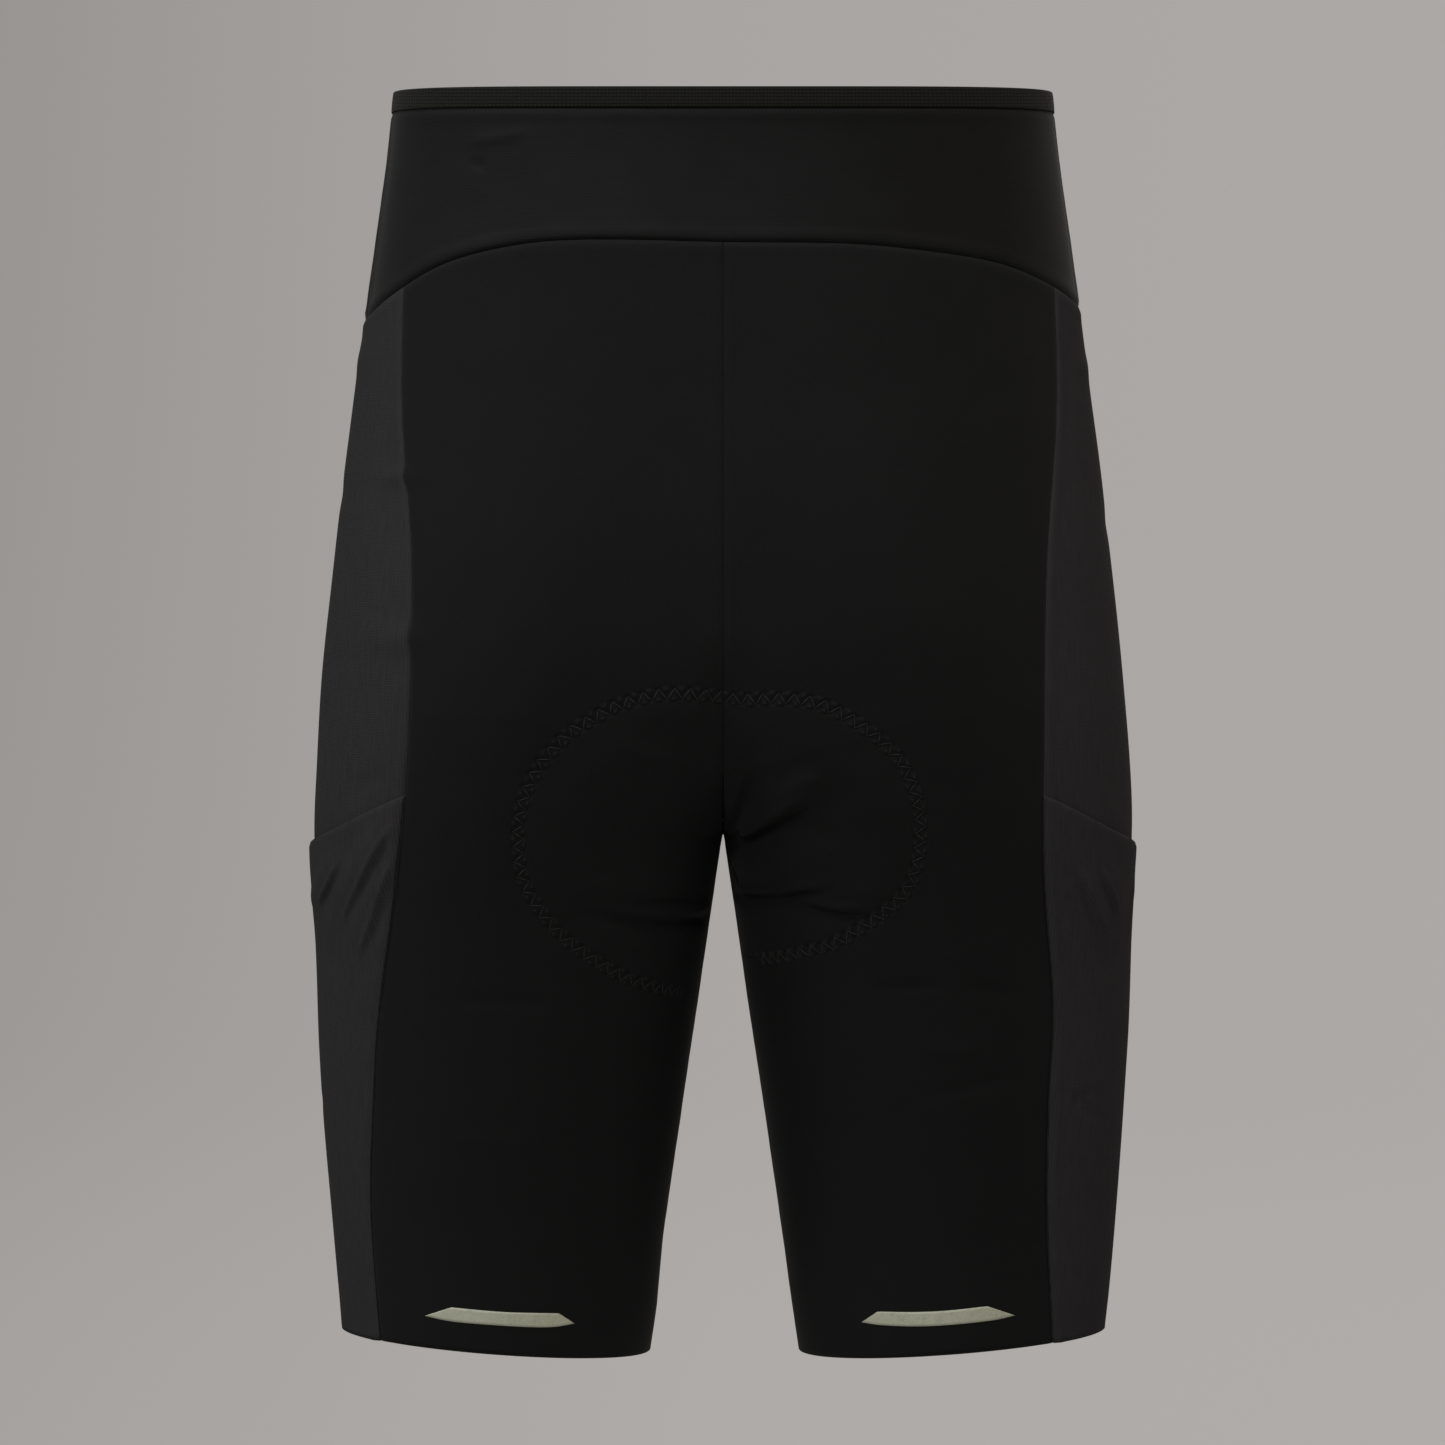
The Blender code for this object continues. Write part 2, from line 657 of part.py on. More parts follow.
def pocket(side, material):
    """The pocket is made from the side panel's surface, moved out, from its mouth down to the hem. It
    stands open a little at the mouth, and folds run down and forwards below it."""
    folds = LEFT_POCKET_FOLDS if side == LEFT else RIGHT_POCKET_FOLDS
    outer, inner = [], []
    for row_level in row_levels(POCKET_SPANS, POCKET_MOUTH_TOP):
        pairs = []
        for n in range(POCKET_COLUMNS + 1):
            share = n / POCKET_COLUMNS
            level = pocket_level(row_level, share)
            z, length = panel_place("side", share * COLUMNS["side"], level, side)
            across = length - seam_length(z, side, "back")
            gape = POCKET_GAPE * math.sin(math.pi * share) ** POCKET_GAPE_POWER
            gape *= smooth_step(POCKET_GAPE_REACH, 0, mouth_z(share) - level)
            lift = LAY_GAP + POCKET_WALL + gape + fold_size(folds, across, z)
            pairs.append(cloth_points(z, length, side, POCKET_WALL, lift))
        outer.append([pair[0] for pair in pairs])
        inner.append([pair[1] for pair in pairs])
    return wall_object(f"pocket_{SIDE_NAMES[side]}", material, outer, inner)


def hem_tab(side, material):
    """A thin pointed strip on the back panel, made from points of the panel's surface, moved out."""
    outer, inner = [], []
    for row in range(TAB_ROWS + 1):
        outer.append([])
        inner.append([])
        for n in range(TAB_COLUMNS + 1):
            along = mix(TAB_INNER_X, TAB_OUTER_X, n / TAB_COLUMNS)
            hem = HEM_Z + (along - LEG_MIDDLE_X) * HEM_SLOPE
            from_end = min(along - TAB_INNER_X, TAB_OUTER_X - along)
            tall = TAB_HEIGHT * min(1.0, TAB_TIP_SHARE + from_end / TAB_POINT)
            z = hem + TAB_ABOVE_HEM + tall * (TAB_ROWS - row) / TAB_ROWS
            z += TAB_POINT_HEIGHT * (TAB_HEIGHT - tall)
            lift = LAY_GAP + TAB_FACET_ROOM + TAB_THICKNESS
            length = length_at_x(along, z, "back")
            points = cloth_points(z, length, side, TAB_THICKNESS, lift)
            outer[-1].append(points[0])
            inner[-1].append(points[1])
    return wall_object(f"hem_tab_{SIDE_NAMES[side]}", material, outer, inner)


def centre_curve_point(share):
    """A point of the centre seam under the pad, from its back top (0) by the fork (0.5) to its front top."""
    back = share < 0.5
    top, rise = (PAD_BACK_TOP, BACK_FORK_RISE) if back else (PAD_FRONT_TOP, FRONT_FORK_RISE)
    away = abs(share - 0.5) * 2
    z = FORK_Z + top * away**PAD_SEAM_POWER
    x, y = point_along(z, 0.0 if back else girth(z))
    return Vector((x, y, z))


def pad_edge_point(share, side):
    """A point of the pad's outline on one side, from its back top by the inseam to its front top."""
    back = share < 0.5
    turn = math.pi * (share * 2 if back else 2 - share * 2)
    drop = PAD_LEFT_DROP if side == LEFT else PAD_RIGHT_DROP
    half_width = PAD_BACK_HALF_WIDTH if back else PAD_FRONT_HALF_WIDTH
    top = PAD_BACK_TOP if back else PAD_FRONT_TOP
    tall = top if math.cos(turn) > 0 else drop
    z = FORK_Z + tall * math.cos(turn)
    x = half_width * math.sin(turn)
    x, y = point_along(z, length_at_x(x, z, "back" if back else "front"))
    return Vector((x, y, z))


def pad_row(share, side):
    """Points and inward directions from the centre seam out to the pad's edge, along the cloth's inside."""
    start, end = centre_curve_point(share), pad_edge_point(share, side)
    half = "back" if share < 0.5 else "front"
    row = []
    for n in range(PAD_STEPS + 1):
        chord = start.lerp(end, (n / PAD_STEPS) ** PAD_CROWDING)
        length = nearest_length(chord.x, chord.y, chord.z, half)
        point = surface_point(chord.z, length, side)
        inward = -surface_normal(chord.z, length, side)
        row.append((point, inward))
    return row


def pad_side_points(share, side):
    """The pad's lower and upper points on one side of the centre seam, from the seam outwards."""
    ends = math.sin(math.pi * share) ** 0.5
    lower, upper = [], []
    for n, (point, inward) in enumerate(pad_row(share, side)):
        stand_off = KNIT_WALL + PAD_CLEARANCE
        if point.y < BACK_RELIEF_START_Y:
            stand_off += fold_size(CREASES, point.x, point.z, spread=PAD_CREASE_MARGIN)
        outwards = (n / PAD_STEPS) ** PAD_CROWDING
        thick = mix(PAD_EDGE_THICKNESS, PAD_THICKNESS, smooth_step(1.0, 0.6, outwards) * ends)
        lower.append(point + inward * stand_off)
        upper.append(point + inward * (stand_off + thick))
    return lower[1:], upper[1:]


def pad_middle_points(share):
    """The pad's lower and upper point over the centre seam."""
    before, after = centre_curve_point(share - 0.01), centre_curve_point(share + 0.01)
    across = (after - before).cross(Vector((1, 0, 0))).normalized()
    if across.z < 0:
        across.negate()
    low = centre_curve_point(share) + across * PAD_SEAM_CLEARANCE
    low.x = 0.0
    thick = mix(PAD_EDGE_THICKNESS, PAD_THICKNESS, math.sin(math.pi * share) ** 0.5)
    return low, low + across * thick


def seat_pad(material):
    """The moulded pad against the inside of the seat, over the fork seam and up the front."""
    lower, upper = [], []
    for station in range(1, PAD_STATIONS):
        share = station / PAD_STATIONS
        left_low, left_high = pad_side_points(share, LEFT)
        right_low, right_high = pad_side_points(share, RIGHT)
        low, high = pad_middle_points(share)
        lower.append(left_low[::-1] + [low] + right_low)
        upper.append(left_high[::-1] + [high] + right_high)
    return wall_object("seat_pad", material, lower, upper)


def main():
    for old in list(bpy.data.objects):
        bpy.data.objects.remove(old)
    knit = make_material("black_knit", (0.008, 0.008, 0.0085), 0.75)
    band = make_material("waistband_knit", (0.010, 0.010, 0.011), 0.70)
    woven = make_material("charcoal_woven", (0.026, 0.025, 0.027), 0.60)
    elastic = make_material("binding_elastic", (0.007, 0.0075, 0.006), 0.85)
    film = make_material("reflective_film", (0.42, 0.43, 0.40), 0.35)
    foam = make_material("pad_fleece", (0.020, 0.020, 0.022), 0.90)
    waist_binding(elastic)
    waistband("back", band)
    waistband("front", band)
    for side in (LEFT, RIGHT):
        body_panel("back", side, BACK_SPANS, KNIT_WALL, knit, back_relief)
        body_panel("front", side, FRONT_SPANS, KNIT_WALL, knit)
        body_panel("side", side, SIDE_SPANS, WOVEN_WALL, woven)
        pocket(side, woven)
        hem_tab(side, film)
    seat_pad(foam)


main()
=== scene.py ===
import math
from functools import partial

import bmesh
import bpy
import numpy as np
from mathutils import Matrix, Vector
from mathutils.bvhtree import BVHTree
from mathutils.kdtree import KDTree


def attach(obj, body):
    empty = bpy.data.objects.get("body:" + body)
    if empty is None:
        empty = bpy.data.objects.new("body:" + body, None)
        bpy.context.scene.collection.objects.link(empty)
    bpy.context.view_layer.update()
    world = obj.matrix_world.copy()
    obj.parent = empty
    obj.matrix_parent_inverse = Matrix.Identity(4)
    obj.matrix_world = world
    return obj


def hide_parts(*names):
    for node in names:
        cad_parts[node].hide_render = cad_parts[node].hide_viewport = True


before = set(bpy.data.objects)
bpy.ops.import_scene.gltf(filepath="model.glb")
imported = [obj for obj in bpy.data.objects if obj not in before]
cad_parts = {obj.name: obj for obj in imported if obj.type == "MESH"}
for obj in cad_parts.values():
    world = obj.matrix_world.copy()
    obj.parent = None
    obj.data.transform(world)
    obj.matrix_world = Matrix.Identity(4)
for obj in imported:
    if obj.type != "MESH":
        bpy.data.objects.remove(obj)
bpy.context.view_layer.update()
mm = 0.001
print("frame loaded:", len(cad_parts), "nodes")


def linear(code):
    # sRGB hex to linear light
    parts = [int(code[i : i + 2], 16) / 255 for i in (0, 2, 4)]
    return [c / 12.92 if c <= 0.04045 else ((c + 0.055) / 1.055) ** 2.4 for c in parts] + [1.0]


def addNode(tree, kind, inputs=None, **settings):
    # Inputs take a value, a socket or a whole node, which gives its first output
    node = tree.nodes.new("ShaderNode" + kind)
    for name, value in settings.items():
        setattr(node, name, value)
    for name, value in (inputs or {}).items():
        if isinstance(value, bpy.types.Node):
            value = value.outputs[0]
        if isinstance(value, bpy.types.NodeSocket):
            tree.links.new(value, node.inputs[name])
        else:
            node.inputs[name].default_value = value
    return node


def newMaterial(name, uv=True):
    # The material, what adds its nodes, and its places: the cloth's own UV in metres or the object's
    material = bpy.data.materials.new(name)
    material.use_nodes = True
    tree = material.node_tree
    tree.nodes.clear()
    add = partial(addNode, tree)
    return material, add, add("UVMap", uv_map="cloth").outputs[0] if uv else add("TexCoord").outputs["Object"]


def newPiece(name, data):
    piece = bpy.data.objects.new(name, data)
    bpy.context.scene.collection.objects.link(piece)
    return piece


def smoothPiece(name, bm):
    for face in bm.faces:
        face.smooth = True
    mesh = bpy.data.meshes.new(name)
    bm.to_mesh(mesh)
    bm.free()
    return newPiece(name, mesh)


# Camera: level with the waist and tipped down to the middle of the shorts
cameraSet = {"distance": 5.0, "across": -0.0002, "aimHeight": -0.2855, "frameWidth": 0.65025, "sensor": 36,
             "farthest": 60}


def makeCamera(c):
    data = bpy.data.cameras.new("photoCamera")
    place = Vector((c["across"], -c["distance"], 0))
    look = Vector((c["across"], 0, c["aimHeight"])) - place
    data.sensor_width = c["sensor"]
    data.lens = c["sensor"] * look.length / c["frameWidth"]
    data.clip_end = c["farthest"]
    piece = newPiece("photoCamera", data)
    piece.location = place
    piece.rotation_euler = look.to_track_quat("-Z", "Y").to_euler()
    bpy.context.scene.camera = piece
    return place


cameraPlace = makeCamera(cameraSet)

# Studio: a pale round sweep that glows with painted light, far behind and below
sweep = {"floor": -0.95, "radius": 9.0, "bend": 3.0, "top": 7.0, "steps": 96, "bendSteps": 12}
sweepLook = {"tones": [(0.0, "9e9b98"), (0.22, "a8a5a2"), (0.5, "b2aeab"), (1.0, "b5b1ae")],
             "reach": 0.9, "glow": 0.86, "paint": "3c3b3a"}
air = {"tint": "a3a09d", "strength": 0.6}


def makeSweep(s, look):
    bm = bmesh.new()
    profile = [(0.0, s["floor"]), (s["radius"] - s["bend"], s["floor"])]
    for i in range(1, s["bendSteps"] + 1):
        turn = math.pi / 2 * i / s["bendSteps"]
        out, up = 1 - math.sin(turn), 1 - math.cos(turn)
        profile.append((s["radius"] - s["bend"] * out, s["floor"] + s["bend"] * up))
    profile.append((s["radius"], s["top"]))
    line = [bm.verts.new((r, 0, z)) for r, z in profile]
    edges = [bm.edges.new(pair) for pair in zip(line, line[1:])]
    bmesh.ops.spin(bm, geom=line + edges, cent=(0, 0, 0), axis=(0, 0, 1), angle=math.tau, steps=s["steps"],
                   use_merge=True)
    bmesh.ops.remove_doubles(bm, verts=bm.verts, dist=1e-5)
    bmesh.ops.recalc_face_normals(bm, faces=bm.faces)
    piece = smoothPiece("studioSweep", bm)
    mesh = piece.data
    if mesh.polygons[0].normal.z < 0:
        mesh.flip_normals()
    # Studio board in dead matt paint, under a glow of painted light that is a little brighter to the right, as the
    # lamps leave it
    material, add, place = newMaterial("sweepBoardPaintedGlow", uv=False)
    parts = add("SeparateXYZ", {0: place})
    slope = add("MapRange", {"Value": parts, "From Min": -look["reach"], "From Max": look["reach"]})
    tone = add("ValToRGB", {"Fac": slope})
    stops = tone.color_ramp.elements
    for i, (spot, code) in enumerate(look["tones"]):
        stop = stops[i] if i < 2 else stops.new(spot)
        stop.position, stop.color = spot, linear(code)
    # Painted light: the board glows in these tones, brighter to the right
    glow = add("Emission", {"Color": tone, "Strength": look["glow"]})
    paint = add("BsdfDiffuse", {"Color": linear(look["paint"]), "Roughness": 1.0})
    both = add("AddShader", {0: glow, 1: paint})
    add("OutputMaterial", {"Surface": both})
    mesh.materials.append(material)


lamps = [
    {"name": "softboxLeft", "place": (-3.1, -0.85, 2.3), "size": 1.3, "power": 76, "tint": "f6f8ff"},
    {"name": "softboxRight", "place": (0.75, -0.45, 0.9), "aim": (0.16, 0, -0.15), "size": 0.5, "power": 1.7,
     "tint": "ffd8ae"},
    {"name": "softboxCamera", "place": (-1.2, -3.5, 1.2), "aim": (0, 0, -0.35), "size": 1.2, "power": 52},
    {"name": "softboxTop", "place": (0.2, -0.7, 2.4), "size": 1.3, "power": 42},
    {"name": "softboxBack", "place": (0.3, 3.6, 2.0), "size": 1.6, "power": 60},
]
lampBase = {"aim": (0, 0, -0.3), "tint": "ffffff"}


def makeLamp(lamp):
    data = bpy.data.lights.new(lamp["name"], "AREA")
    data.size = lamp["size"]
    data.energy = lamp["power"]
    data.color = linear(lamp["tint"])[:3]
    piece = newPiece(lamp["name"], data)
    piece.location = lamp["place"]
    piece.rotation_euler = (Vector(lamp["aim"]) - Vector(lamp["place"])).to_track_quat("-Z", "Y").to_euler()
    piece.visible_camera = False


def makeStudio():
    makeSweep(sweep, sweepLook)
    for lamp in lamps:
        makeLamp({**lampBase, **lamp})
    world = bpy.data.worlds.new("studioAir")
    world.use_nodes = True
    glow = world.node_tree.nodes["Background"]
    glow.inputs["Color"].default_value = linear(air["tint"])
    glow.inputs["Strength"].default_value = air["strength"]
    scene = bpy.context.scene
    scene.world = world
    scene.view_settings.view_transform = "Standard"
    scene.view_settings.look = "None"


makeStudio()
print("camera and studio made")


# Cloth tools. The shared numbers are in metres or degrees.
legMiddle = 0.085  # each leg's middle from the body's middle, and about half of its width
legLine = 0.09  # outer faces look away from upright lines this far to the left and right
hemHeight, acrossSlope = -0.545, 0.45  # hem edges lie lower than the one and rise less than the other
rimAngle = 50
pathStep = 0.003
foldMargin = 0.04


def solidCopy(nodeName):
    bm = bmesh.new()
    bm.from_mesh(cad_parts[nodeName].data)
    bmesh.ops.remove_doubles(bm, verts=bm.verts, dist=1e-6)
    return bm


def outerSheet(nodeName):
    # A copy of the solid's outward face alone, which sharp edges part from the rims
    bm = solidCopy(nodeName)
    regions = []
    seen = set()
    for first in bm.faces:
        if first in seen:
            continue
        seen.add(first)
        region, outward, waiting = [], 0.0, [first]
        while waiting:
            face = waiting.pop()
            region.append(face)
            middle = face.calc_center_median()
            legX = math.copysign(legLine, middle.x)
            outward += face.calc_area() * face.normal.dot(Vector((middle.x - legX, middle.y, 0)))
            for edge in face.edges:
                if len(edge.link_faces) == 2 and edge.calc_face_angle() < math.radians(rimAngle):
                    for other in edge.link_faces:
                        if other not in seen:
                            seen.add(other)
                            waiting.append(other)
        regions.append((outward, region))
    keep = set(max(regions, key=lambda entry: entry[0])[1])
    bmesh.ops.delete(bm, geom=[face for face in bm.faces if face not in keep], context="FACES")
    asQuads(bm)
    return bm


def wholeSolid(nodeName):
    bm = solidCopy(nodeName)
    asQuads(bm)
    return bm


def asQuads(bm):
    bmesh.ops.join_triangles(bm, faces=bm.faces, angle_face_threshold=math.pi, angle_shape_threshold=math.pi)
    for face in bm.faces:
        face.smooth = True


def readPoints(mesh):
    points = np.empty(len(mesh.vertices) * 3)
    mesh.vertices.foreach_get("co", points)
    return points.reshape(-1, 3)


def readNormals(mesh):
    normals = np.empty(len(mesh.vertices) * 3, np.float32)
    mesh.vertex_normals.foreach_get("vector", normals)
    return normals.reshape(-1, 3).astype(float)


def writePoints(mesh, points):
    mesh.vertices.foreach_set("co", np.ascontiguousarray(points, dtype=np.float32).ravel())
    mesh.update()


def roundedPiece(name, bm, levels):
    # Subdivided, with the cage nudged until the round surface runs through the solid's own points
    cage = bpy.data.meshes.new(name + "Cage")
    bm.to_mesh(cage)
    bm.free()
    piece = newPiece(name, cage)
    rounding = piece.modifiers.new("rounding", "SUBSURF")
    rounding.levels = rounding.render_levels = levels
    rounding.boundary_smooth = "PRESERVE_CORNERS"
    wanted = readPoints(cage)
    held = wanted.copy()
    for turn in range(6):
        bpy.context.view_layer.update()
        shown = piece.evaluated_get(bpy.context.evaluated_depsgraph_get())
        reached = readPoints(shown.data)[: len(wanted)]
        if turn < 5:
            held += wanted - reached
            writePoints(cage, held)
    finished = bpy.data.meshes.new_from_object(shown)
    finished.name = name
    piece.modifiers.clear()
    piece.data = finished
    bpy.data.meshes.remove(cage)
    return piece


def smoothStep(value):
    value = np.clip(value, 0, 1)
    return value * value * (3 - 2 * value)


# Where each list of places is seen from: its across axis, its depth axis and the sign of the near side
views = {
    "back": {"across": 0, "depth": 1, "near": -1},
    "front": {"across": 0, "depth": 1, "near": 1},
    "left": {"across": 1, "depth": 0, "near": -1},
    "right": {"across": 1, "depth": 0, "near": 1},
}


def onCloth(tree, seenFrom, places):
    # Places in mm, across and up, set on the cloth as that view shows them. The back is seen by the camera.
    found = []
    way = views[seenFrom]
    for across, up in places:
        aim = Vector((0, 0, up * mm))
        aim[way["across"]] = across * mm
        if seenFrom == "back":
            start = cameraPlace
        else:
            start = aim.copy()
            start[way["depth"]] = way["near"]
        hit = tree.ray_cast(start, (aim - start).normalized())[0]
        if hit is None:
            guess = aim.copy()
            guess[way["depth"]] = 0.02 * way["near"]
            hit = tree.find_nearest(guess)[0]
        found.append(hit)
    return found


def spacedPath(points, step):
    # Evenly spaced places on a smooth curve through the points
    points = [Vector(point) for point in points]
    fine = []
    count, parts = len(points), 12
    for i in range(count - 1):
        before = points[max(i - 1, 0)]
        after = points[min(i + 2, count - 1)]
        for j in range(parts):
            t = j / parts
            fine.append(0.5 * ((2 * points[i]) + (points[i + 1] - before) * t
                               + (2 * before - 5 * points[i] + 4 * points[i + 1] - after) * t * t
                               + (3 * points[i] - before - 3 * points[i + 1] + after) * t * t * t))
    fine.append(points[-1])
    lengths = [0.0]
    for a, b in zip(fine, fine[1:]):
        lengths.append(lengths[-1] + (b - a).length)
    total = lengths[-1]
    steps = max(2, round(total / step))
    flat = np.array([tuple(point) for point in fine])
    at = np.linspace(0, total, steps + 1)
    return np.stack([np.interp(at, lengths, flat[:, k]) for k in range(3)], axis=1), total


def pathPlace(points, path):
    # Nearest distance to a path, and how far along it that is
    nearest = np.full(len(points), 1e9)
    along = np.zeros(len(points))
    side = np.zeros((len(points), 3))
    run = 0.0
    for a, b in zip(path, path[1:]):
        leg = b - a
        length = np.linalg.norm(leg)
        share = np.clip(((points - a) @ leg) / (length * length), 0, 1)
        gap = points - (a + share[:, None] * leg)
        distance = np.linalg.norm(gap, axis=1)
        closer = distance < nearest
        nearest[closer] = distance[closer]
        along[closer] = run + share[closer] * length
        side[closer] = np.cross(leg / length, gap[closer])
        run += length
    return nearest, along, side, run


def bell(value):
    return np.exp(-(value ** 2))


def crease(width, rise, *places, fade=0.35, lean=0.0):
    # One fold, in mm: a ridge, or a trough where rise is negative, through places seen from one side. It fades over
    # that share of its length at each end, and the cloth sinks on the side that it leans to.
    return {"width": width, "rise": rise, "places": places, "fade": fade, "lean": lean}


def foldHeights(points, normals, path, fold):
    # One soft fold: a rounded ridge, or a trough where it sinks, fading at both ends
    reach = np.linalg.norm(path[0] - path[-1]) / 2 + foldMargin
    near = np.linalg.norm(points - path.mean(axis=0), axis=1) < reach
    heights = np.zeros(len(points))
    if not near.any():
        return heights
    distance, along, side, total = pathPlace(points[near], path)
    ends = smoothStep(np.minimum(along, total - along) / (fold["fade"] * total))
    width = fold["width"] * mm
    profile = bell(distance / width)
    lean = fold["lean"]
    if lean:  # the cloth sinks on one side of the ridge
        signed = np.sign(np.einsum("ij,ij->i", side, normals[near])) * distance
        profile -= abs(lean) * bell(signed / width - math.copysign(1.5, lean))
    heights[near] = fold["rise"] * mm * profile * ends
    return heights


def waviness(points, size, seed):
    # Slow unevenness of hanging cloth, about plus or minus one
    total = np.zeros(len(points))
    dice = np.random.default_rng(seed)
    for _ in range(7):
        way = dice.normal(size=3)
        way /= np.linalg.norm(way) * size * dice.uniform(0.7, 1.5)
        total += np.sin(points @ way * math.tau + dice.uniform(0, math.tau))
    return total / 3.5


def boundaryEdges(mesh):
    uses = np.zeros(len(mesh.edges), int)
    index = np.empty(len(mesh.loops), np.int32)
    mesh.loops.foreach_get("edge_index", index)
    np.add.at(uses, index, 1)
    ends = np.empty(len(mesh.edges) * 2, np.int32)
    mesh.edges.foreach_get("vertices", ends)
    return ends.reshape(-1, 2)[uses == 1]


def edgePlaces(points, edges):
    shares = (0, 0.25, 0.5, 0.75)
    return np.concatenate([points[edges[:, 0]] * (1 - s) + points[edges[:, 1]] * s for s in shares])


def distancesTo(places, points):
    # How far each point is from the nearest of the places
    tree = KDTree(len(places))
    for i, place in enumerate(places):
        tree.insert(place, i)
    tree.balance()
    return np.array([tree.find(point)[2] for point in points])


def storeValues(mesh, name, values):
    attribute = mesh.attributes.new(name, "FLOAT", "POINT")
    attribute.data.foreach_set("value", np.ascontiguousarray(values, dtype=np.float32))


def layCloth(mesh, points, middle, facing):
    # UV in metres: round the leg or the waist, and up
    angle = np.arctan2(points[:, 0] - middle, -points[:, 1])
    if facing == "front":
        angle = np.arctan2(middle - points[:, 0], points[:, 1])
    if facing == "left":
        angle = np.arctan2(-points[:, 1], middle - points[:, 0])
    if facing == "right":
        angle = np.arctan2(-points[:, 1], points[:, 0] - middle)
    layer = mesh.uv_layers.new(name="cloth")
    index = np.empty(len(mesh.loops), np.int32)
    mesh.loops.foreach_get("vertex_index", index)
    flat = np.stack([angle * legMiddle, points[:, 2]], axis=1)[index]
    layer.data.foreach_set("uv", np.ascontiguousarray(flat, dtype=np.float32).ravel())


def sewnEdges(points, edges):
    # A cut's edges without its hem, which runs across and lies low
    ends = points[edges]
    run = ends[:, 1] - ends[:, 0]
    across = np.abs(run[:, 2]) < acrossSlope * np.linalg.norm(run, axis=1)
    return edges[~(across & (ends[:, :, 2].mean(axis=1) < hemHeight))]


def seamRoll(distance, c):
    # The cloth turns in at a seam, and the allowance behind it lifts a soft lip beside it
    far = distance / mm
    return mm * (c["lip"] * bell((far - c["lipAt"]) / c["lipWidth"]) - c["roll"] * bell(far / c["rollWidth"]))


def pullAside(points, pulls):
    # A seam tugged aside: the same shift on both cloths, so that they stay together
    for pull in pulls:
        reach = pull["size"] * mm
        far = ((points[:, 0] - pull["x"] * mm) / (2.5 * reach)) ** 2 + ((points[:, 2] - pull["z"] * mm) / reach) ** 2
        points[:, 0] += np.where(points[:, 1] < 0, pull["shift"] * mm * np.exp(-far), 0)


# The worn cloth hangs a little past the solids: lower at the hems, and fuller at the sides of the legs and at
# the left hem's inner corner. Each change sets in over a distance in mm.
settled = {"hem": 2.4, "hemFrom": -495.0, "hemReach": 65.0, "left": 0.9, "right": 1.3, "sideFrom": -372.0,
           "sideReach": 60.0, "sideWay": 118.0, "sideWidth": 40.0, "inner": 1.5, "innerFrom": -512.0,
           "innerReach": 40.0, "innerWay": -72.0, "innerWidth": 26.0}


def settle(points, c):
    x, z = points[:, 0] / mm, points[:, 2] / mm
    fuller = smoothStep((c["sideFrom"] - z) / c["sideReach"])
    fuller *= smoothStep((np.abs(x) - c["sideWay"]) / c["sideWidth"])
    inner = smoothStep((c["innerFrom"] - z) / c["innerReach"]) * smoothStep((x - c["innerWay"]) / c["innerWidth"])
    points[:, 0] += mm * (np.where(x < 0, -c["left"], c["right"]) * fuller + c["inner"] * inner * (x < 0))
    points[:, 2] -= c["hem"] * mm * smoothStep((c["hemFrom"] - z) / c["hemReach"])


gathers = {"wave": 0.011, "seed": 5}


def seamPucker(points, distance, size):
    # Small uneven gathers where the cloth is drawn in along a seam
    far = distance / mm
    return size * mm * waviness(points, gathers["wave"], gathers["seed"]) * bell(far / 5) * smoothStep(far / 1.5)


def applySheetWall(piece, wall):
    thickness = piece.modifiers.new("wall", "SOLIDIFY")
    thickness.thickness = wall * mm
    thickness.offset = -1
    thickness.use_rim = True
    return thickness


def treeOf(piece):
    mesh = piece.data
    corners = [vertex.co for vertex in mesh.vertices]
    return BVHTree.FromPolygons(corners, [tuple(face.vertices) for face in mesh.polygons])


# Materials. The finest real patterns are drawn coarser than they are, or they would not show at all.

def bandScale(spacing):
    # A wave texture's scale for bands this many mm apart
    return math.tau / 20 / (spacing * mm)


def finishLook(add, look, share, relief):
    # The end that these materials have in common: two tones, a fine relief and the shader
    first, last = (linear(code) for code in look["tones"])
    tone = add("Mix", {0: share, 6: first, 7: last}, data_type="RGBA")
    bump = add("Bump", {"Height": relief, "Strength": look["relief"], "Distance": look["deep"] * mm})
    shell = add("BsdfPrincipled", {
        "Base Color": tone.outputs[2], "Roughness": look["rough"], "IOR": 1.5, "Specular IOR Level": look["specular"],
        "Sheen Weight": look["sheen"], "Sheen Roughness": look["nap"], "Normal": bump})
    add("OutputMaterial", {"Surface": shell})
    return tone, bump, shell


matKnitLook = {"tones": ("090909", "121212"), "wale": 1.3, "relief": 0.6, "deep": 0.12, "rough": 0.92,
               "specular": 0.12, "sheen": 0.01, "nap": 0.5}


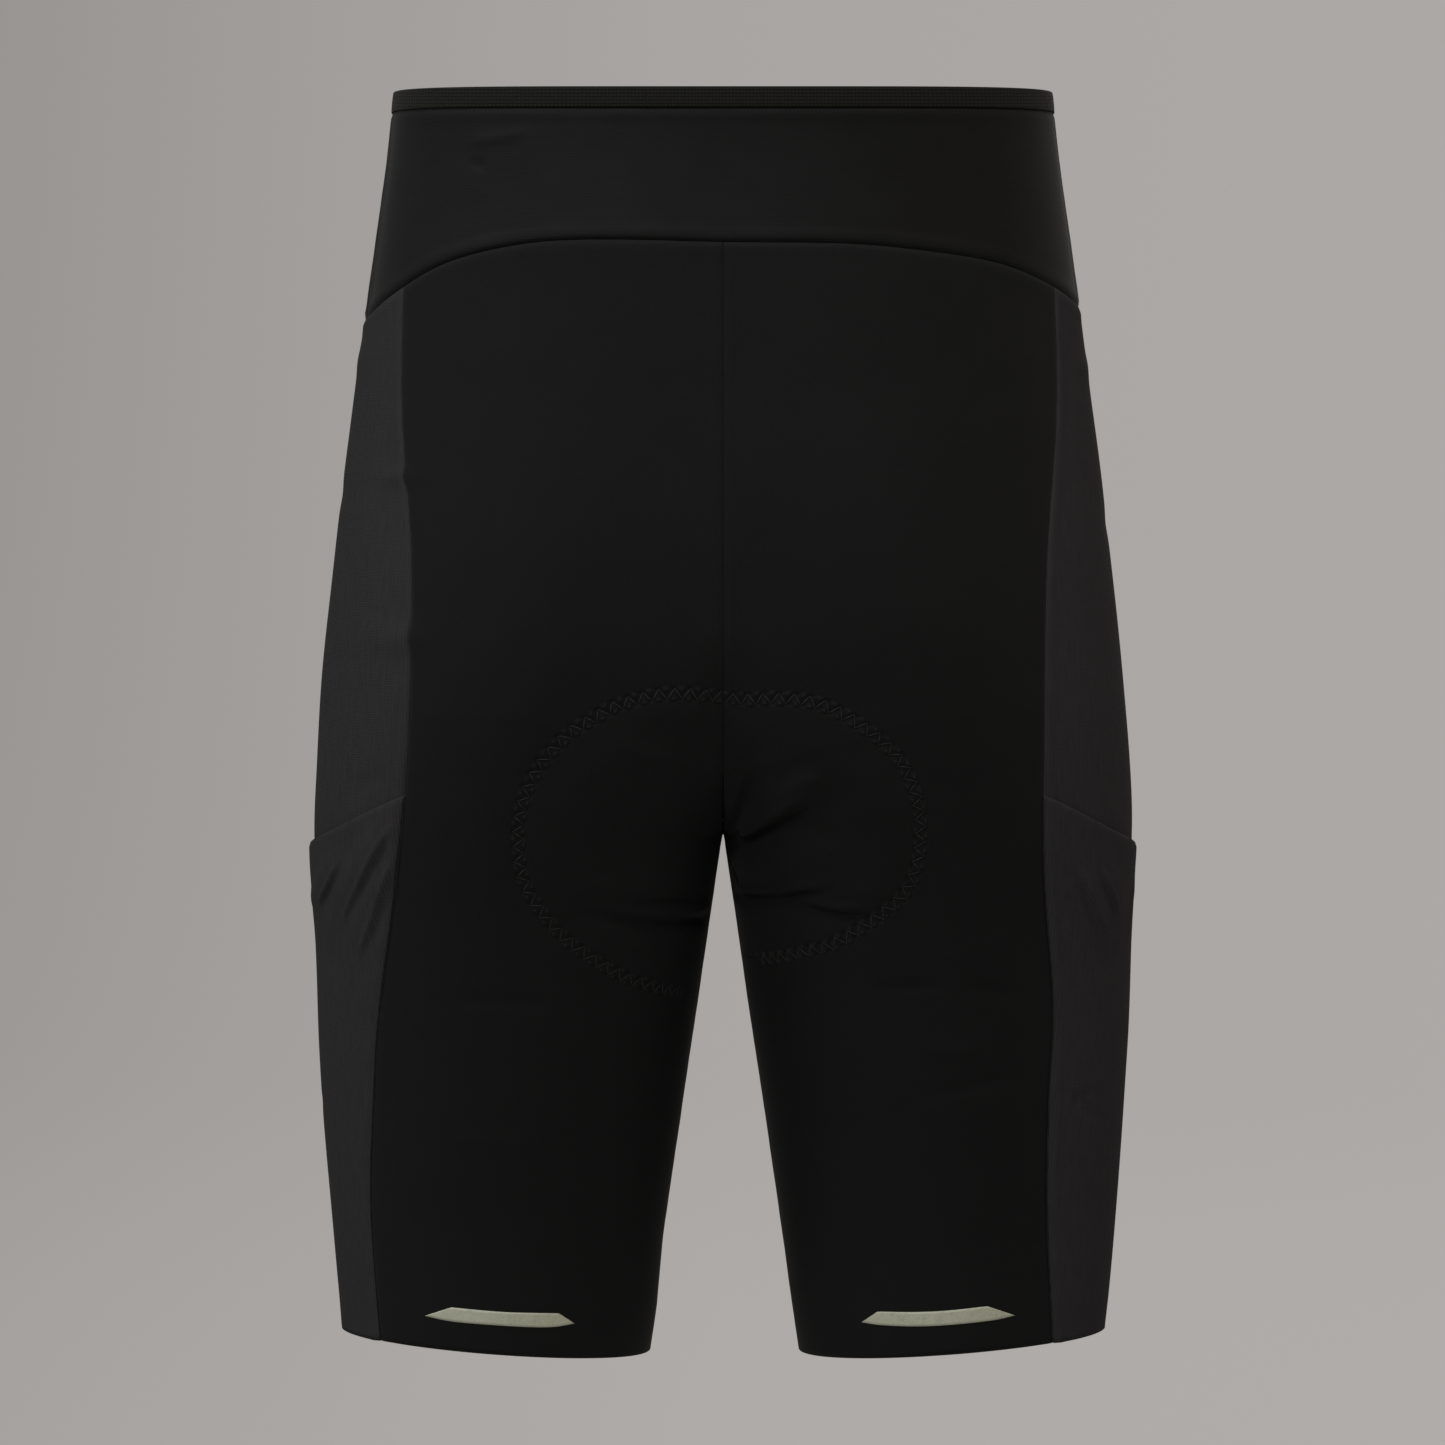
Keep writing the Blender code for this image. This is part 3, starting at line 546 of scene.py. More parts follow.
def mattKnit(name, look, stitch):
    # Polyamide and elastane warp knit with a dull face: nearly black, with upright wales half a
    # millimetre apart, drawn at 1.3 mm. Fine loops scatter the light, so it has no highlights.
    material, add, place = newMaterial(name)
    wales = add("TexWave", {"Vector": place, "Scale": bandScale(look["wale"]), "Distortion": 1.2,
                            "Detail": 1.0, "Detail Scale": 2.0}, bands_direction="X")
    loops = add("TexNoise", {"Vector": place, "Scale": 900.0, "Detail": 3.0, "Roughness": 0.7})
    patches = add("TexNoise", {"Vector": place, "Scale": 60.0, "Detail": 3.0})
    rib = add("MapRange", {"Value": wales.outputs["Fac"], "To Min": 0.75, "To Max": 1.0})
    grain = add("Math", {0: rib, 1: loops.outputs["Fac"]}, operation="MULTIPLY")
    worn = add("MapRange", {"Value": patches.outputs["Fac"], "To Min": 0.38, "To Max": 0.62})
    fleck = add("Math", {0: grain, 1: worn}, operation="ADD")
    share = add("MapRange", {"Value": fleck, "From Min": 0.55, "From Max": 1.25})
    tone, bump, shell = finishLook(add, look, share, grain)
    # The pad's zigzag draws the cloth into pits, one at each turn of the thread. Its colour gets painted shade in the
    # pits and painted highlight on the crests between them
    across = add("Attribute", attribute_name="stitchAcross").outputs["Fac"]
    along = add("Attribute", attribute_name="stitchAlong").outputs["Fac"]
    uneven = add("TexNoise", {"Vector": place, "Scale": 260.0, "Detail": 2.0}).outputs["Fac"]
    early = add("Math", {0: uneven, 1: stitch["uneven"], 2: along}, operation="MULTIPLY_ADD")
    turn = add("Math", {0: early, 1: math.tau / stitch["period"]}, operation="MULTIPLY")
    swing = add("Math", {0: turn}, operation="SINE")
    lever = add("Math", {0: across, 1: 1 / stitch["reach"]}, operation="MULTIPLY")
    heap = add("Math", {0: swing, 1: lever}, operation="MULTIPLY")
    reach = add("Math", {0: across}, operation="ABSOLUTE")
    fade = add("MapRange", {"Value": reach, "From Min": stitch["reach"] + 1.3,
                            "From Max": stitch["reach"] - 0.5}, interpolation_type="SMOOTHSTEP")
    pucker = add("Math", {0: heap, 1: fade}, operation="MULTIPLY")
    pulled = add("Bump", {"Height": pucker, "Strength": 1.0, "Distance": stitch["pucker"] * mm,
                          "Normal": bump})
    # Painted shade darkens the colour in the pits to a tenth, and painted highlight brightens it up to 2.6 times on
    # the crests
    pitPaintedShade = add("MapRange", {"Value": pucker, "From Min": -0.95, "From Max": -0.55, "To Min": 0.1})
    crestPaintedHighlight = add("MapRange", {"Value": pucker, "From Min": 0.45, "From Max": 0.95, "To Min": 1.0,
                             "To Max": 2.6})
    both = add("Math", {0: pitPaintedShade, 1: crestPaintedHighlight}, operation="MULTIPLY")
    shaded = add("VectorMath", {0: tone.outputs[2], "Scale": both}, operation="SCALE")
    links = material.node_tree.links
    links.new(shaded.outputs[0], shell.inputs["Base Color"])
    links.new(pulled.outputs[0], shell.inputs["Normal"])
    return material


bandKnitLook = {"tones": ("060606", "0b0b0b"), "course": 1.1, "relief": 0.5, "deep": 0.08, "rough": 0.66,
                "specular": 0.12, "sheen": 0.03, "nap": 0.4}


def bandKnit(name, look):
    # Close interlock knit of the waistband: smoother than the panels, so it keeps a little more sheen at its
    # sides. Its courses are drawn at 1.1 mm.
    material, add, place = newMaterial(name)
    courses = add("TexWave", {"Vector": place, "Scale": bandScale(look["course"]), "Distortion": 1.0,
                              "Detail": 1.0, "Detail Scale": 2.0}, bands_direction="Y")
    loops = add("TexNoise", {"Vector": place, "Scale": 1000.0, "Detail": 3.0, "Roughness": 0.7})
    patches = add("TexNoise", {"Vector": place, "Scale": 70.0, "Detail": 4.0})
    grain = add("Math", {0: courses.outputs["Fac"], 1: loops.outputs["Fac"]}, operation="MULTIPLY")
    fleck = add("Math", {0: grain, 1: patches.outputs["Fac"]}, operation="ADD")
    share = add("MapRange", {"Value": fleck, "From Min": 0.45, "From Max": 1.05})
    finishLook(add, look, share, grain)
    return material


wovenLook = {"tones": ("252425", "2e2d2e"), "thread": 1.2, "relief": 0.3, "deep": 0.06, "rough": 0.9,
             "specular": 0.03, "sheen": 0.0, "nap": 0.35}


def stretchWoven(name, look):
    # Fine stretch woven polyamide: threads a fifth of a millimetre apart, drawn at 1.2 mm. It is dark grey
    # beside the knit, and its slubs run up and down.
    material, add, place = newMaterial(name)
    warp = add("TexWave", {"Vector": place, "Scale": bandScale(look["thread"]), "Distortion": 1.5,
                           "Detail": 2.0, "Detail Scale": 1.5}, bands_direction="X")
    weft = add("TexWave", {"Vector": place, "Scale": bandScale(look["thread"] * 0.9), "Distortion": 1.0,
                           "Detail": 1.0, "Detail Scale": 2.0}, bands_direction="Y")
    drawn = add("Mapping", {"Vector": place, "Scale": (1.0, 0.12, 1.0)})
    slubs = add("TexNoise", {"Vector": drawn, "Scale": 620.0, "Detail": 2.0})
    weave = add("Math", {0: warp.outputs["Fac"], 1: weft.outputs["Fac"]}, operation="ADD")
    share = add("Math", {0: weave, 1: slubs.outputs["Fac"]}, operation="MULTIPLY")
    ramp = add("MapRange", {"Value": share, "From Min": 0.15, "From Max": 0.85})
    finishLook(add, look, ramp, weave)
    return material


elasticLook = {"tones": ("080805", "14140c"), "rib": 1.5, "step": 1.3, "relief": 0.9, "deep": 0.3, "rough": 0.8,
               "specular": 0.14, "sheen": 0.02, "nap": 0.5}


def ribbedElastic(name, look):
    # Knitted elastic tape: rubber threads run round the waist under small knit ribs, which give a
    # fine waffle, and its dye is a warmer black than the cloth's
    material, add, place = newMaterial(name)
    ribs = add("TexWave", {"Vector": place, "Scale": bandScale(look["rib"])}, bands_direction="Y")
    steps = add("TexWave", {"Vector": place, "Scale": bandScale(look["step"]), "Distortion": 0.6,
                            "Detail": 1.0}, bands_direction="X")
    waffle = add("Math", {0: ribs.outputs["Fac"], 1: steps.outputs["Fac"]}, operation="MULTIPLY")
    finishLook(add, look, waffle, waffle)
    return material


filmLook = {"tones": ("a1a390", "7c7d6c"), "bead": 0.9, "relief": 0.2, "deep": 0.05, "rough": 0.5,
            "specular": 0.5, "sheen": 0.0, "nap": 0.5}


def beadedFilm(name, look):
    # Heat-bonded transfer film with glass beads on aluminium: flat grey with a fine sparkle
    material, add, place = newMaterial(name, uv=False)
    beads = add("TexVoronoi", {"Vector": place, "Scale": 1 / (look["bead"] * mm)}).outputs["Distance"]
    patches = add("TexNoise", {"Vector": place, "Scale": 240.0, "Detail": 3.0})
    share = add("Math", {0: beads, 1: patches.outputs["Fac"]}, operation="MULTIPLY")
    finishLook(add, look, share, beads)
    return material


padLook = {"tones": ("1e2023", "34373b"), "hole": 3.2, "relief": 0.7, "deep": 0.4, "rough": 0.95,
           "specular": 0.2, "sheen": 0.35, "nap": 0.5}


def brushedPadKnit(name, look):
    # Brushed microfibre over moulded foam: short nap, so soft sheen, with a dimple every 3.2 mm where
    # the knit has its air holes
    material, add, place = newMaterial(name, uv=False)
    holes = add("TexVoronoi", {"Vector": place, "Scale": 1 / (look["hole"] * mm), "Randomness": 0.15})
    nap = add("TexNoise", {"Vector": place, "Scale": 700.0, "Detail": 4.0})
    rim = add("MapRange", {"Value": holes.outputs["Distance"], "From Min": 0.1, "From Max": 0.45},
              interpolation_type="SMOOTHSTEP")
    share = add("Math", {0: rim, 1: nap.outputs["Fac"]}, operation="MULTIPLY")
    finishLook(add, look, share, share)
    return material


threadLook = {"tones": ("0d0d0d", "1c1c1c"), "twist": 0.5}
# The pad's zigzag thread is the same black thread drawn lighter: painted highlight where it catches the light from
# the left
padThreadHighlightLook = {"tones": ("1a1a19", "303030"), "twist": 0.5}


def sewingThread(name, look):
    # Spun polyester thread, black and dull, twisted twice a millimetre
    material, add, place = newMaterial(name, uv=False)
    twist = add("TexWave", {"Vector": place, "Scale": bandScale(look["twist"]), "Distortion": 2.0},
                bands_direction="DIAGONAL")
    first, last = (linear(code) for code in look["tones"])
    tone = add("Mix", {0: twist.outputs["Fac"], 6: first, 7: last}, data_type="RGBA")
    shell = add("BsdfPrincipled", {"Base Color": tone.outputs[2], "Roughness": 0.8, "IOR": 1.5,
                                   "Specular IOR Level": 0.2})
    add("OutputMaterial", {"Surface": shell})
    return material


# The pad's outline stitch, in mm
zigzag = {
    "period": 6.8, "reach": 2.5, "thread": 0.2, "pucker": 1.0, "lift": 0.14, "uneven": 2.2, "dip": 0.1,
    "left": [(-1.0, -273.8), (-12.5, -272.8), (-20.7, -272.5), (-30.3, -273.2), (-39.9, -275.5), (-49.5, -278.6),
        (-59.1, -284.2), (-67.3, -288.9), (-75.5, -296.5), (-82.3, -304.7), (-87.2, -313.5), (-90.6, -323.1),
        (-92.2, -334.0), (-91.9, -345.0), (-89.9, -356.0), (-85.8, -364.8), (-79.0, -374.4), (-70.8, -383.3),
        (-61.8, -390.1), (-52.2, -396.3), (-42.6, -401.2), (-31.6, -404.5), (-23.3, -406.6), (-17.4, -407.4)],
    "right": [(1.0, -274.5), (9.7, -275.1), (19.4, -274.6), (29.0, -274.9), (37.2, -275.6), (46.7, -278.2),
        (56.2, -283.1), (64.5, -288.5), (72.7, -294.7), (79.4, -302.1), (84.2, -311.0), (87.6, -320.5),
        (88.9, -330.0), (88.9, -339.4), (87.6, -349.0), (84.9, -357.0), (79.5, -365.2), (71.3, -371.9),
        (63.1, -377.4), (54.9, -382.9), (45.4, -387.0), (35.8, -389.0), (26.1, -391.1), (15.8, -391.8)],
    "frontLeft": [(-1.0, -283.0), (-14.0, -283.6), (-28.0, -287.0), (-41.0, -294.0), (-51.5, -305.0), (-58.5, -319.0),
        (-61.5, -335.0), (-59.5, -352.0), (-53.0, -369.0), (-43.0, -384.0), (-31.0, -396.0), (-22.0, -403.0),
        (-17.6, -406.5)],
    "frontRight": [(1.0, -283.0), (14.0, -283.6), (28.0, -287.0), (41.0, -294.0), (51.5, -305.0), (58.5, -319.0),
        (61.5, -334.0), (59.5, -349.0), (53.0, -363.0), (43.0, -375.0), (31.0, -385.0), (22.0, -390.0),
        (16.4, -392.4)],
}

matt = mattKnit("mattWarpKnit", matKnitLook, zigzag)
band = bandKnit("interlockBandKnit", bandKnitLook)
woven = stretchWoven("stretchWovenPolyamide", wovenLook)
elastic = ribbedElastic("knittedElasticTape", elasticLook)
film = beadedFilm("beadedTransferFilm", filmLook)
fleece = brushedPadKnit("brushedMicrofibre", padLook)
thread = sewingThread("spunPolyesterThread", threadLook)
padThreadPaintedHighlight = sewingThread("spunPolyesterThreadPaintedHighlight", padThreadHighlightLook)
print("materials made")

made = {}


def backsTree():
    # Both back panels' solids as one, for the forms that cross the seam between them
    bm = bmesh.new()
    for side in ("left", "right"):
        bm.from_mesh(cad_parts["back_panel_" + side].data)
    tree = BVHTree.FromBMesh(bm)
    bm.free()
    return tree


def pressHollows(points, normals, hollows):
    # Straight in from the back, so that the pieces on both sides of a seam and the pad behind them move alike
    for hollow in hollows:
        path = spacedPath(onCloth(backsTree(), "back", hollow["places"]), pathStep)[0]
        points[:, 1] -= foldHeights(points, normals, path, hollow)


# Over how many mm folds fade towards a seam and slow waves towards any edge, how wide the middle seam's sinking,
# a pocket mouth's pressed edge and the pad's stitch line are
reaches = {"fold": 3, "edge": 14, "midway": 14, "mouth": 1.1, "stitch": 3.4}
slowWave = 0.075
mouthSlope, mouthFloor = 0.75, -0.36  # how steep a pocket's mouth gets, and the height that it stays above
midwayEase = 0.35  # the share of a seam's depth that is left out at the middle


def makeCloth(node, c, material):
    # One cut piece of cloth on its solid's form, with its own folds, seam edges and wall
    name = node + "_cloth"
    piece = roundedPiece(name, outerSheet(node), c["levels"])
    mesh = piece.data
    points, normals = readPoints(mesh), readNormals(mesh)
    edges = boundaryEdges(mesh)
    tree = treeOf(piece)
    sewn = sewnEdges(points, edges)
    if "mouthRoll" in c:  # the pocket's open edge is pressed flat and has no allowance
        ends = points[sewn]
        run = ends[:, 1] - ends[:, 0]
        lies = np.abs(run[:, 2]) < mouthSlope * np.linalg.norm(run, axis=1)
        lies &= ends[:, :, 2].mean(axis=1) > mouthFloor
        toMouth = distancesTo(edgePlaces(points, sewn[lies]), points) / mm
        points -= normals * (c["mouthRoll"] * mm * bell(toMouth / reaches["mouth"]))[:, None]
        sewn = sewn[~lies]
    toSeam = distancesTo(edgePlaces(points, sewn), points)
    toEdge = distancesTo(edgePlaces(points, edges), points)
    relief = np.zeros(len(points))
    for seenFrom, folds in c["folds"].items():
        for fold in folds:
            path = spacedPath(onCloth(tree, seenFrom, fold["places"]), pathStep)[0]
            relief += foldHeights(points, normals, path, fold)
    if "stitch" in c:
        path = spacedPath(onCloth(tree, c["facing"], zigzag[c["stitch"]]), 2 * mm)[0]
        distance, run, turn, total = pathPlace(points, path)
        storeValues(mesh, "stitchAcross", np.sign(np.einsum("ij,ij->i", turn, normals)) * distance / mm)
        storeValues(mesh, "stitchAlong", run / mm)
        relief -= c["stitchDepth"] * mm * bell(distance / mm / reaches["stitch"])
    # Folds die out at the seams, so that the two cloths stay level there
    waves = c["uneven"] * mm * waviness(points, slowWave, c["seed"]) * smoothStep(toEdge / (reaches["edge"] * mm))
    heights = relief * smoothStep(toSeam / (reaches["fold"] * mm)) + waves
    points += normals * heights[:, None]
    # At the middle seam both cloths sink straight in, or the gap between them would open in the cleft
    midway = smoothStep(1 - np.abs(points[:, 0]) / (reaches["midway"] * mm))[:, None]
    sink = normals * (1 - midway * (1, 0, 0))
    sink /= np.linalg.norm(sink, axis=1)[:, None] + 1e-9
    depth = seamRoll(toSeam, c) + seamPucker(points, toSeam, c["pucker"])
    points += sink * depth[:, None] * (1 - midwayEase * midway)
    pressHollows(points, normals, c.get("crossing", []))
    pullAside(points, c.get("pulls", []))
    settle(points, settled)
    writePoints(mesh, points)
    layCloth(mesh, points, c["middle"], c["facing"])
    mesh.materials.append(material)
    applySheetWall(piece, c["wall"])
    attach(piece, "root")
    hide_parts(node)
    made[name] = piece
    print("cloth", name, len(mesh.polygons), "faces")


# Where the left side seam is tugged towards the side, in mm as seen from behind
leftPulls = [{"x": -143.0, "z": -172.0, "size": 4.0, "shift": -1.7},
             {"x": -142.8, "z": -243.0, "size": 6.0, "shift": -1.9}]

# Hollow under the pad's top edge, in both back panels
backHollows = [crease(7.5, -4.6, (-64, -288), (-38, -293), (-14, -299), (0, -301), (14, -301), (28, -299),
                      (50, -292))]

# Back panels. All sizes here are in mm. The roll is a seam edge's turn inwards, and the lip lies beside it.
knitCut = {"levels": 3, "wall": 1.2, "roll": 0.32, "rollWidth": 1.2, "lip": 0.15, "pucker": 0.12, "stitchDepth": 0.35,
           "lipAt": 3.6, "lipWidth": 1.9}
backLeft = {
    **knitCut, "middle": -legMiddle, "facing": "back", "uneven": 0.35, "seed": 11, "stitch": "left",
    "pulls": leftPulls, "crossing": backHollows,
    "folds": {"back": [
        crease(2.6, 1.9, (-65, -367.9), (-54, -368.6), (-44.3, -369.7), (-34.6, -370.7), (-23.5, -370.7),
               (-12.4, -370), (-5.5, -368.4)),
        crease(2.3, -2.8, (-68, -371), (-58.1, -372.1), (-44.3, -374.9), (-29, -376.9), (-20.7, -376.9),
               (-12.4, -375.5), (-5, -372.4)),
        crease(1.9, -1.6, (-50, -366.7), (-35, -367.6), (-22, -367.2), (-9, -365.6)),
        crease(5, 0.7, (-74, -358), (-52, -359.5), (-30, -359), (-14, -357)),
        crease(3.6, 0.7, (-48, -384), (-34, -386.5), (-22, -386)),
        crease(6, -0.6, (-16, -300), (-13, -322), (-11, -346)),
        crease(3, -0.6, (-132, -410), (-100, -411.5), (-72, -413)),
        crease(5, 0.5, (-128, -470), (-104, -476), (-84, -474)),
    ]},
}
backRight = {
    **knitCut, "middle": legMiddle, "facing": "back", "uneven": 0.35, "seed": 12, "stitch": "right",
    "crossing": backHollows,
    "folds": {"back": [
        crease(2.4, -2.3, (14.5, -305), (13.2, -309.1), (10.4, -317.4), (7, -325.7), (3.6, -333), fade=0.25),
        crease(2.0, 1.6, (9, -307), (6.4, -316), (4, -326)),
        crease(1.9, -2.6, (2.8, -344), (8.3, -339.8), (15.3, -336.4), (22.2, -333), (29.1, -329.9), (37.4, -325.7),
               (44.3, -322.5), (52, -317.8), fade=0.3),
        crease(1.6, -1.2, (4.5, -338.9), (8.3, -334.7), (12.5, -330.5), (18.5, -326.3), fade=0.3),
        crease(2.8, 3.2, (5.6, -341.5), (11.1, -334), (19.4, -327.8), (29.1, -322.2), (38.8, -317.4), (48, -314.6),
               fade=0.3),
        crease(4.5, 1.8, (22, -321), (34, -314), (48, -309)),
        crease(1.8, -2.7, (3.5, -362.8), (12.5, -364.5), (23.6, -365.2), (31.9, -363.8), (40.2, -362.7), (52, -362.2),
               fade=0.25),
        crease(2.4, 1.9, (6, -360), (18, -361.2), (29.1, -360.2), (40.2, -359), (51, -359), fade=0.25),
        crease(2.0, -2.6, (25, -363.6), (34.6, -367.9), (43, -370.7), (51.3, -372.5), (59.6, -373.2), (71, -372.4),
               fade=0.25),
        crease(2.2, 1.6, (33, -364.6), (43, -366.9), (54, -368.8), (66, -369)),
        crease(1.8, -2.2, (4.2, -349.4), (5.9, -354.8), (7.9, -359.8)),
        crease(7, 1.7, (6, -350), (22, -347), (42, -344), (66, -343)),
        crease(2.4, -1.0, (62.3, -405.3), (76.2, -405.3), (91.4, -404.6), (103.9, -405.3)),
        crease(2.8, -0.7, (106, -406), (122, -406.5), (138, -408)),
        crease(3.2, -0.7, (88, -454.5), (112, -450), (136, -444.5)),
        crease(4, 0.5, (84, -430), (104, -434), (122, -431)),
    ]},
}
makeCloth("back_panel_left", backLeft, matt)
makeCloth("back_panel_right", backRight, matt)

# Front panels, which the photograph doesn't show
frontLeft = {
    **knitCut, "middle": -legMiddle, "facing": "front", "uneven": 0.5, "seed": 21, "stitch": "frontLeft",
    "folds": {"front": [
        crease(4, -1.2, (-12, -372), (-30, -366), (-52, -352), (-70, -340)),
        crease(4, 0.8, (-10, -364), (-28, -356), (-46, -342)),
        crease(3.5, -0.9, (-14, -386), (-34, -386), (-58, -378)),
    ]},
}
frontRight = {
    **knitCut, "middle": legMiddle, "facing": "front", "uneven": 0.5, "seed": 22, "stitch": "frontRight",
    "folds": {"front": [
        crease(4, -1.2, (11, -368), (27, -363), (48, -347), (64, -332)),
        crease(4, -0.8, (12, -381), (36, -378), (60, -366)),
        crease(4, 0.8, (13, -374), (34, -370), (55, -357)),
    ]},
}
makeCloth("front_panel_left", frontLeft, matt)
makeCloth("front_panel_right", frontRight, matt)

# Side panels
sideCut = {"levels": 3, "wall": 0.9, "uneven": 0.3, "roll": 0.35, "rollWidth": 1.2, "lip": 0.45, "pucker": 0.12,
           "lipAt": 3.6, "lipWidth": 1.9}
sideLeft = {
    **sideCut, "middle": -legMiddle, "facing": "left", "seed": 31, "pulls": leftPulls,
    "folds": {"back": [
        crease(3.5, -0.5, (-149, -306), (-158, -312), (-168, -316)),
        crease(2.2, -0.6, (-146, -171), (-150, -173), (-157, -173.6), fade=0.5),
        crease(2.6, -0.7, (-146, -243), (-152, -246), (-161, -247), fade=0.5),
    ], "left": [
        crease(5, 0.5, (-40, -118), (-10, -123), (25, -121)),
        crease(6, -0.5, (20, -176), (-6, -183), (-34, -180)),
    ]},
}
sideRight = {
    **sideCut, "middle": legMiddle, "facing": "right", "seed": 32,
    "folds": {"right": [
        crease(5, 0.5, (-42, -121), (-14, -126), (22, -122)),
        crease(6, -0.5, (-36, -190), (-8, -196), (24, -188)),
    ]},
}
makeCloth("side_panel_left", sideLeft, woven)
makeCloth("side_panel_right", sideRight, woven)

# Thigh pockets
pocketCut = {"levels": 3, "wall": 0.8, "uneven": 0.3, "mouthRoll": 0.6, "roll": 0.8, "rollWidth": 1.8, "lip": 0.3,
             "pucker": 0.12, "lipAt": 3.6, "lipWidth": 1.9}
pocketLeft = {
    **pocketCut, "middle": -legMiddle, "facing": "left", "seed": 41,
    "folds": {"back": [
        crease(1.8, 1.5, (-172, -345), (-177, -356.5), (-182.5, -369), lean=0.35, fade=0.3),
        crease(1.7, 1.5, (-147.9, -328), (-152.6, -336.5), (-160.3, -350), (-172.5, -379), fade=0.24),
        crease(2.4, -0.8, (-148.4, -335), (-156.7, -350.5), (-169, -377), fade=0.28),
        crease(1.7, 1.5, (-148.6, -345), (-154.2, -361), (-164.5, -394), fade=0.24),
        crease(2.6, -0.8, (-148.6, -352), (-152, -365), (-158.5, -388), fade=0.28),
    ], "left": [
        crease(2.6, 0.8, (-12, -352), (-22, -368), (-30, -392)),
        crease(3.0, 0.7, (24, -356), (16, -374), (12, -396)),
        crease(3.0, -0.5, (34, -452), (12, -458), (-14, -454)),
    ]},
}
pocketRight = {
    **pocketCut, "middle": legMiddle, "facing": "right", "seed": 42,
    "folds": {"back": [
        crease(2.0, 1.5, (160.7, -349.7), (167, -366), (173.3, -383.4), lean=-0.7),
        crease(1.9, 1.2, (170.1, -349.7), (175, -361), (179.1, -373.5), lean=-0.7),
        crease(2.4, -0.9, (145.4, -462.2), (158, -457), (171, -450.5)),
        crease(2.0, -0.7, (144.9, -453.2), (151, -452), (158.4, -451.8)),
    ], "right": [
        crease(2.6, 0.8, (-10, -350), (-19, -366), (-26, -388)),
        crease(3.0, 0.7, (22, -354), (15, -372), (10, -392)),
    ]},
}
makeCloth("pocket_left", pocketLeft, woven)
makeCloth("pocket_right", pocketRight, woven)

# Waistband
bandCut = {"levels": 3, "wall": 1.2, "middle": 0.0, "roll": 0.38, "rollWidth": 1.2, "lip": 0.4, "pucker": 0.1,
           "lipAt": 3.6, "lipWidth": 1.9}
bandBack = {
    **bandCut, "facing": "back", "uneven": 0.2, "seed": 51,
    "folds": {"back": [
        crease(1.8, 0.6, (-117, -25.6), (-113, -24.8), (-100.4, -22.5), (-88.7, -20.3), (-82, -19.4)),
        crease(1.3, -0.7, (-114, -33.6), (-110, -34.6), (-106, -36.2)),
    ]},
}
bandFront = {
    **bandCut, "facing": "front", "uneven": 0.3, "seed": 52,
    "folds": {},
}
makeCloth("waistband_back", bandBack, band)
makeCloth("waistband_front", bandFront, band)

# Elastic binding round the top edge: a folded tape with a soft edge
binding = {"levels": 2}


def makeBinding(c):
    piece = roundedPiece("waist_binding_elastic", wholeSolid("waist_binding"), c["levels"])
    mesh = piece.data
    layCloth(mesh, readPoints(mesh), 0.0, "back")
    mesh.materials.append(elastic)
    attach(piece, "root")
    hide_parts("waist_binding")
    made["binding"] = piece
    print("binding", len(mesh.polygons), "faces")


makeBinding(binding)

# Reflective tabs: strips with slanted ends. Their long edges are given in mm as seen from behind.
tab = {
    "wall": 0.2, "lift": 0.3, "long": 48, "tall": 6, "step": 0.4,
    "left": {"low": [(-134.5, -553.7), (-123.4, -556.1), (-108.0, -557.6), (-87.7, -558.8), (-76.1, -558.7),
                     (-67.1, -557.2)],
             "high": [(-122.6, -549.9), (-99.2, -552.0), (-74.1, -552.6)]},
    "right": {"low": [(62.7, -556.6), (71.5, -557.9), (87.3, -558.5), (104.0, -557.7), (121.9, -555.7),
                      (131.7, -553.5)],
              "high": [(69.8, -551.8), (87.3, -552.0), (102.0, -551.3), (119.3, -549.4)]},
}


def makeTab(side, c):
    edges, parts = [], 200
    for name in ("low", "high"):
        fine = spacedPath([(x, 0, z) for x, z in c[side][name]], c["step"])[0]
        at = np.linspace(0, len(fine) - 1, parts + 1)
        edges.append(np.stack([np.interp(at, np.arange(len(fine)), fine[:, k]) for k in (0, 2)], axis=1))
    bm = bmesh.new()
    bmesh.ops.create_grid(bm, x_segments=c["long"], y_segments=c["tall"], size=1)
    tree = treeOf(made["back_panel_" + side + "_cloth"])
    for vert in bm.verts:
        along, up = round((vert.co.x + 1) / 2 * parts), (vert.co.y + 1) / 2
        place = edges[0][along] * (1 - up) + edges[1][along] * up
        spot = onCloth(tree, "back", [place])[0]
        vert.co = spot + tree.find_nearest(spot)[1] * c["lift"] * mm
    piece = smoothPiece("hem_tab_" + side + "_film", bm)
    mesh = piece.data
    mesh.materials.append(film)
    applySheetWall(piece, c["wall"])
    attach(piece, "root")
    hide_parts("hem_tab_" + side)
    made["tab_" + side] = piece
    print("tab", side, len(mesh.polygons), "faces")


for side in ("left", "right"):
    makeTab(side, tab)

# Seat pad: moulded foam with pressed channels on the wearer's side
pad = {"levels": 2, "lane": 24.0, "width": 2.6, "depth": 1.6, "cross": (-300.0, -352.0), "crossReach": 4.0,
       "lowest": -0.6, "slope": 0.8, "outward": -0.02}


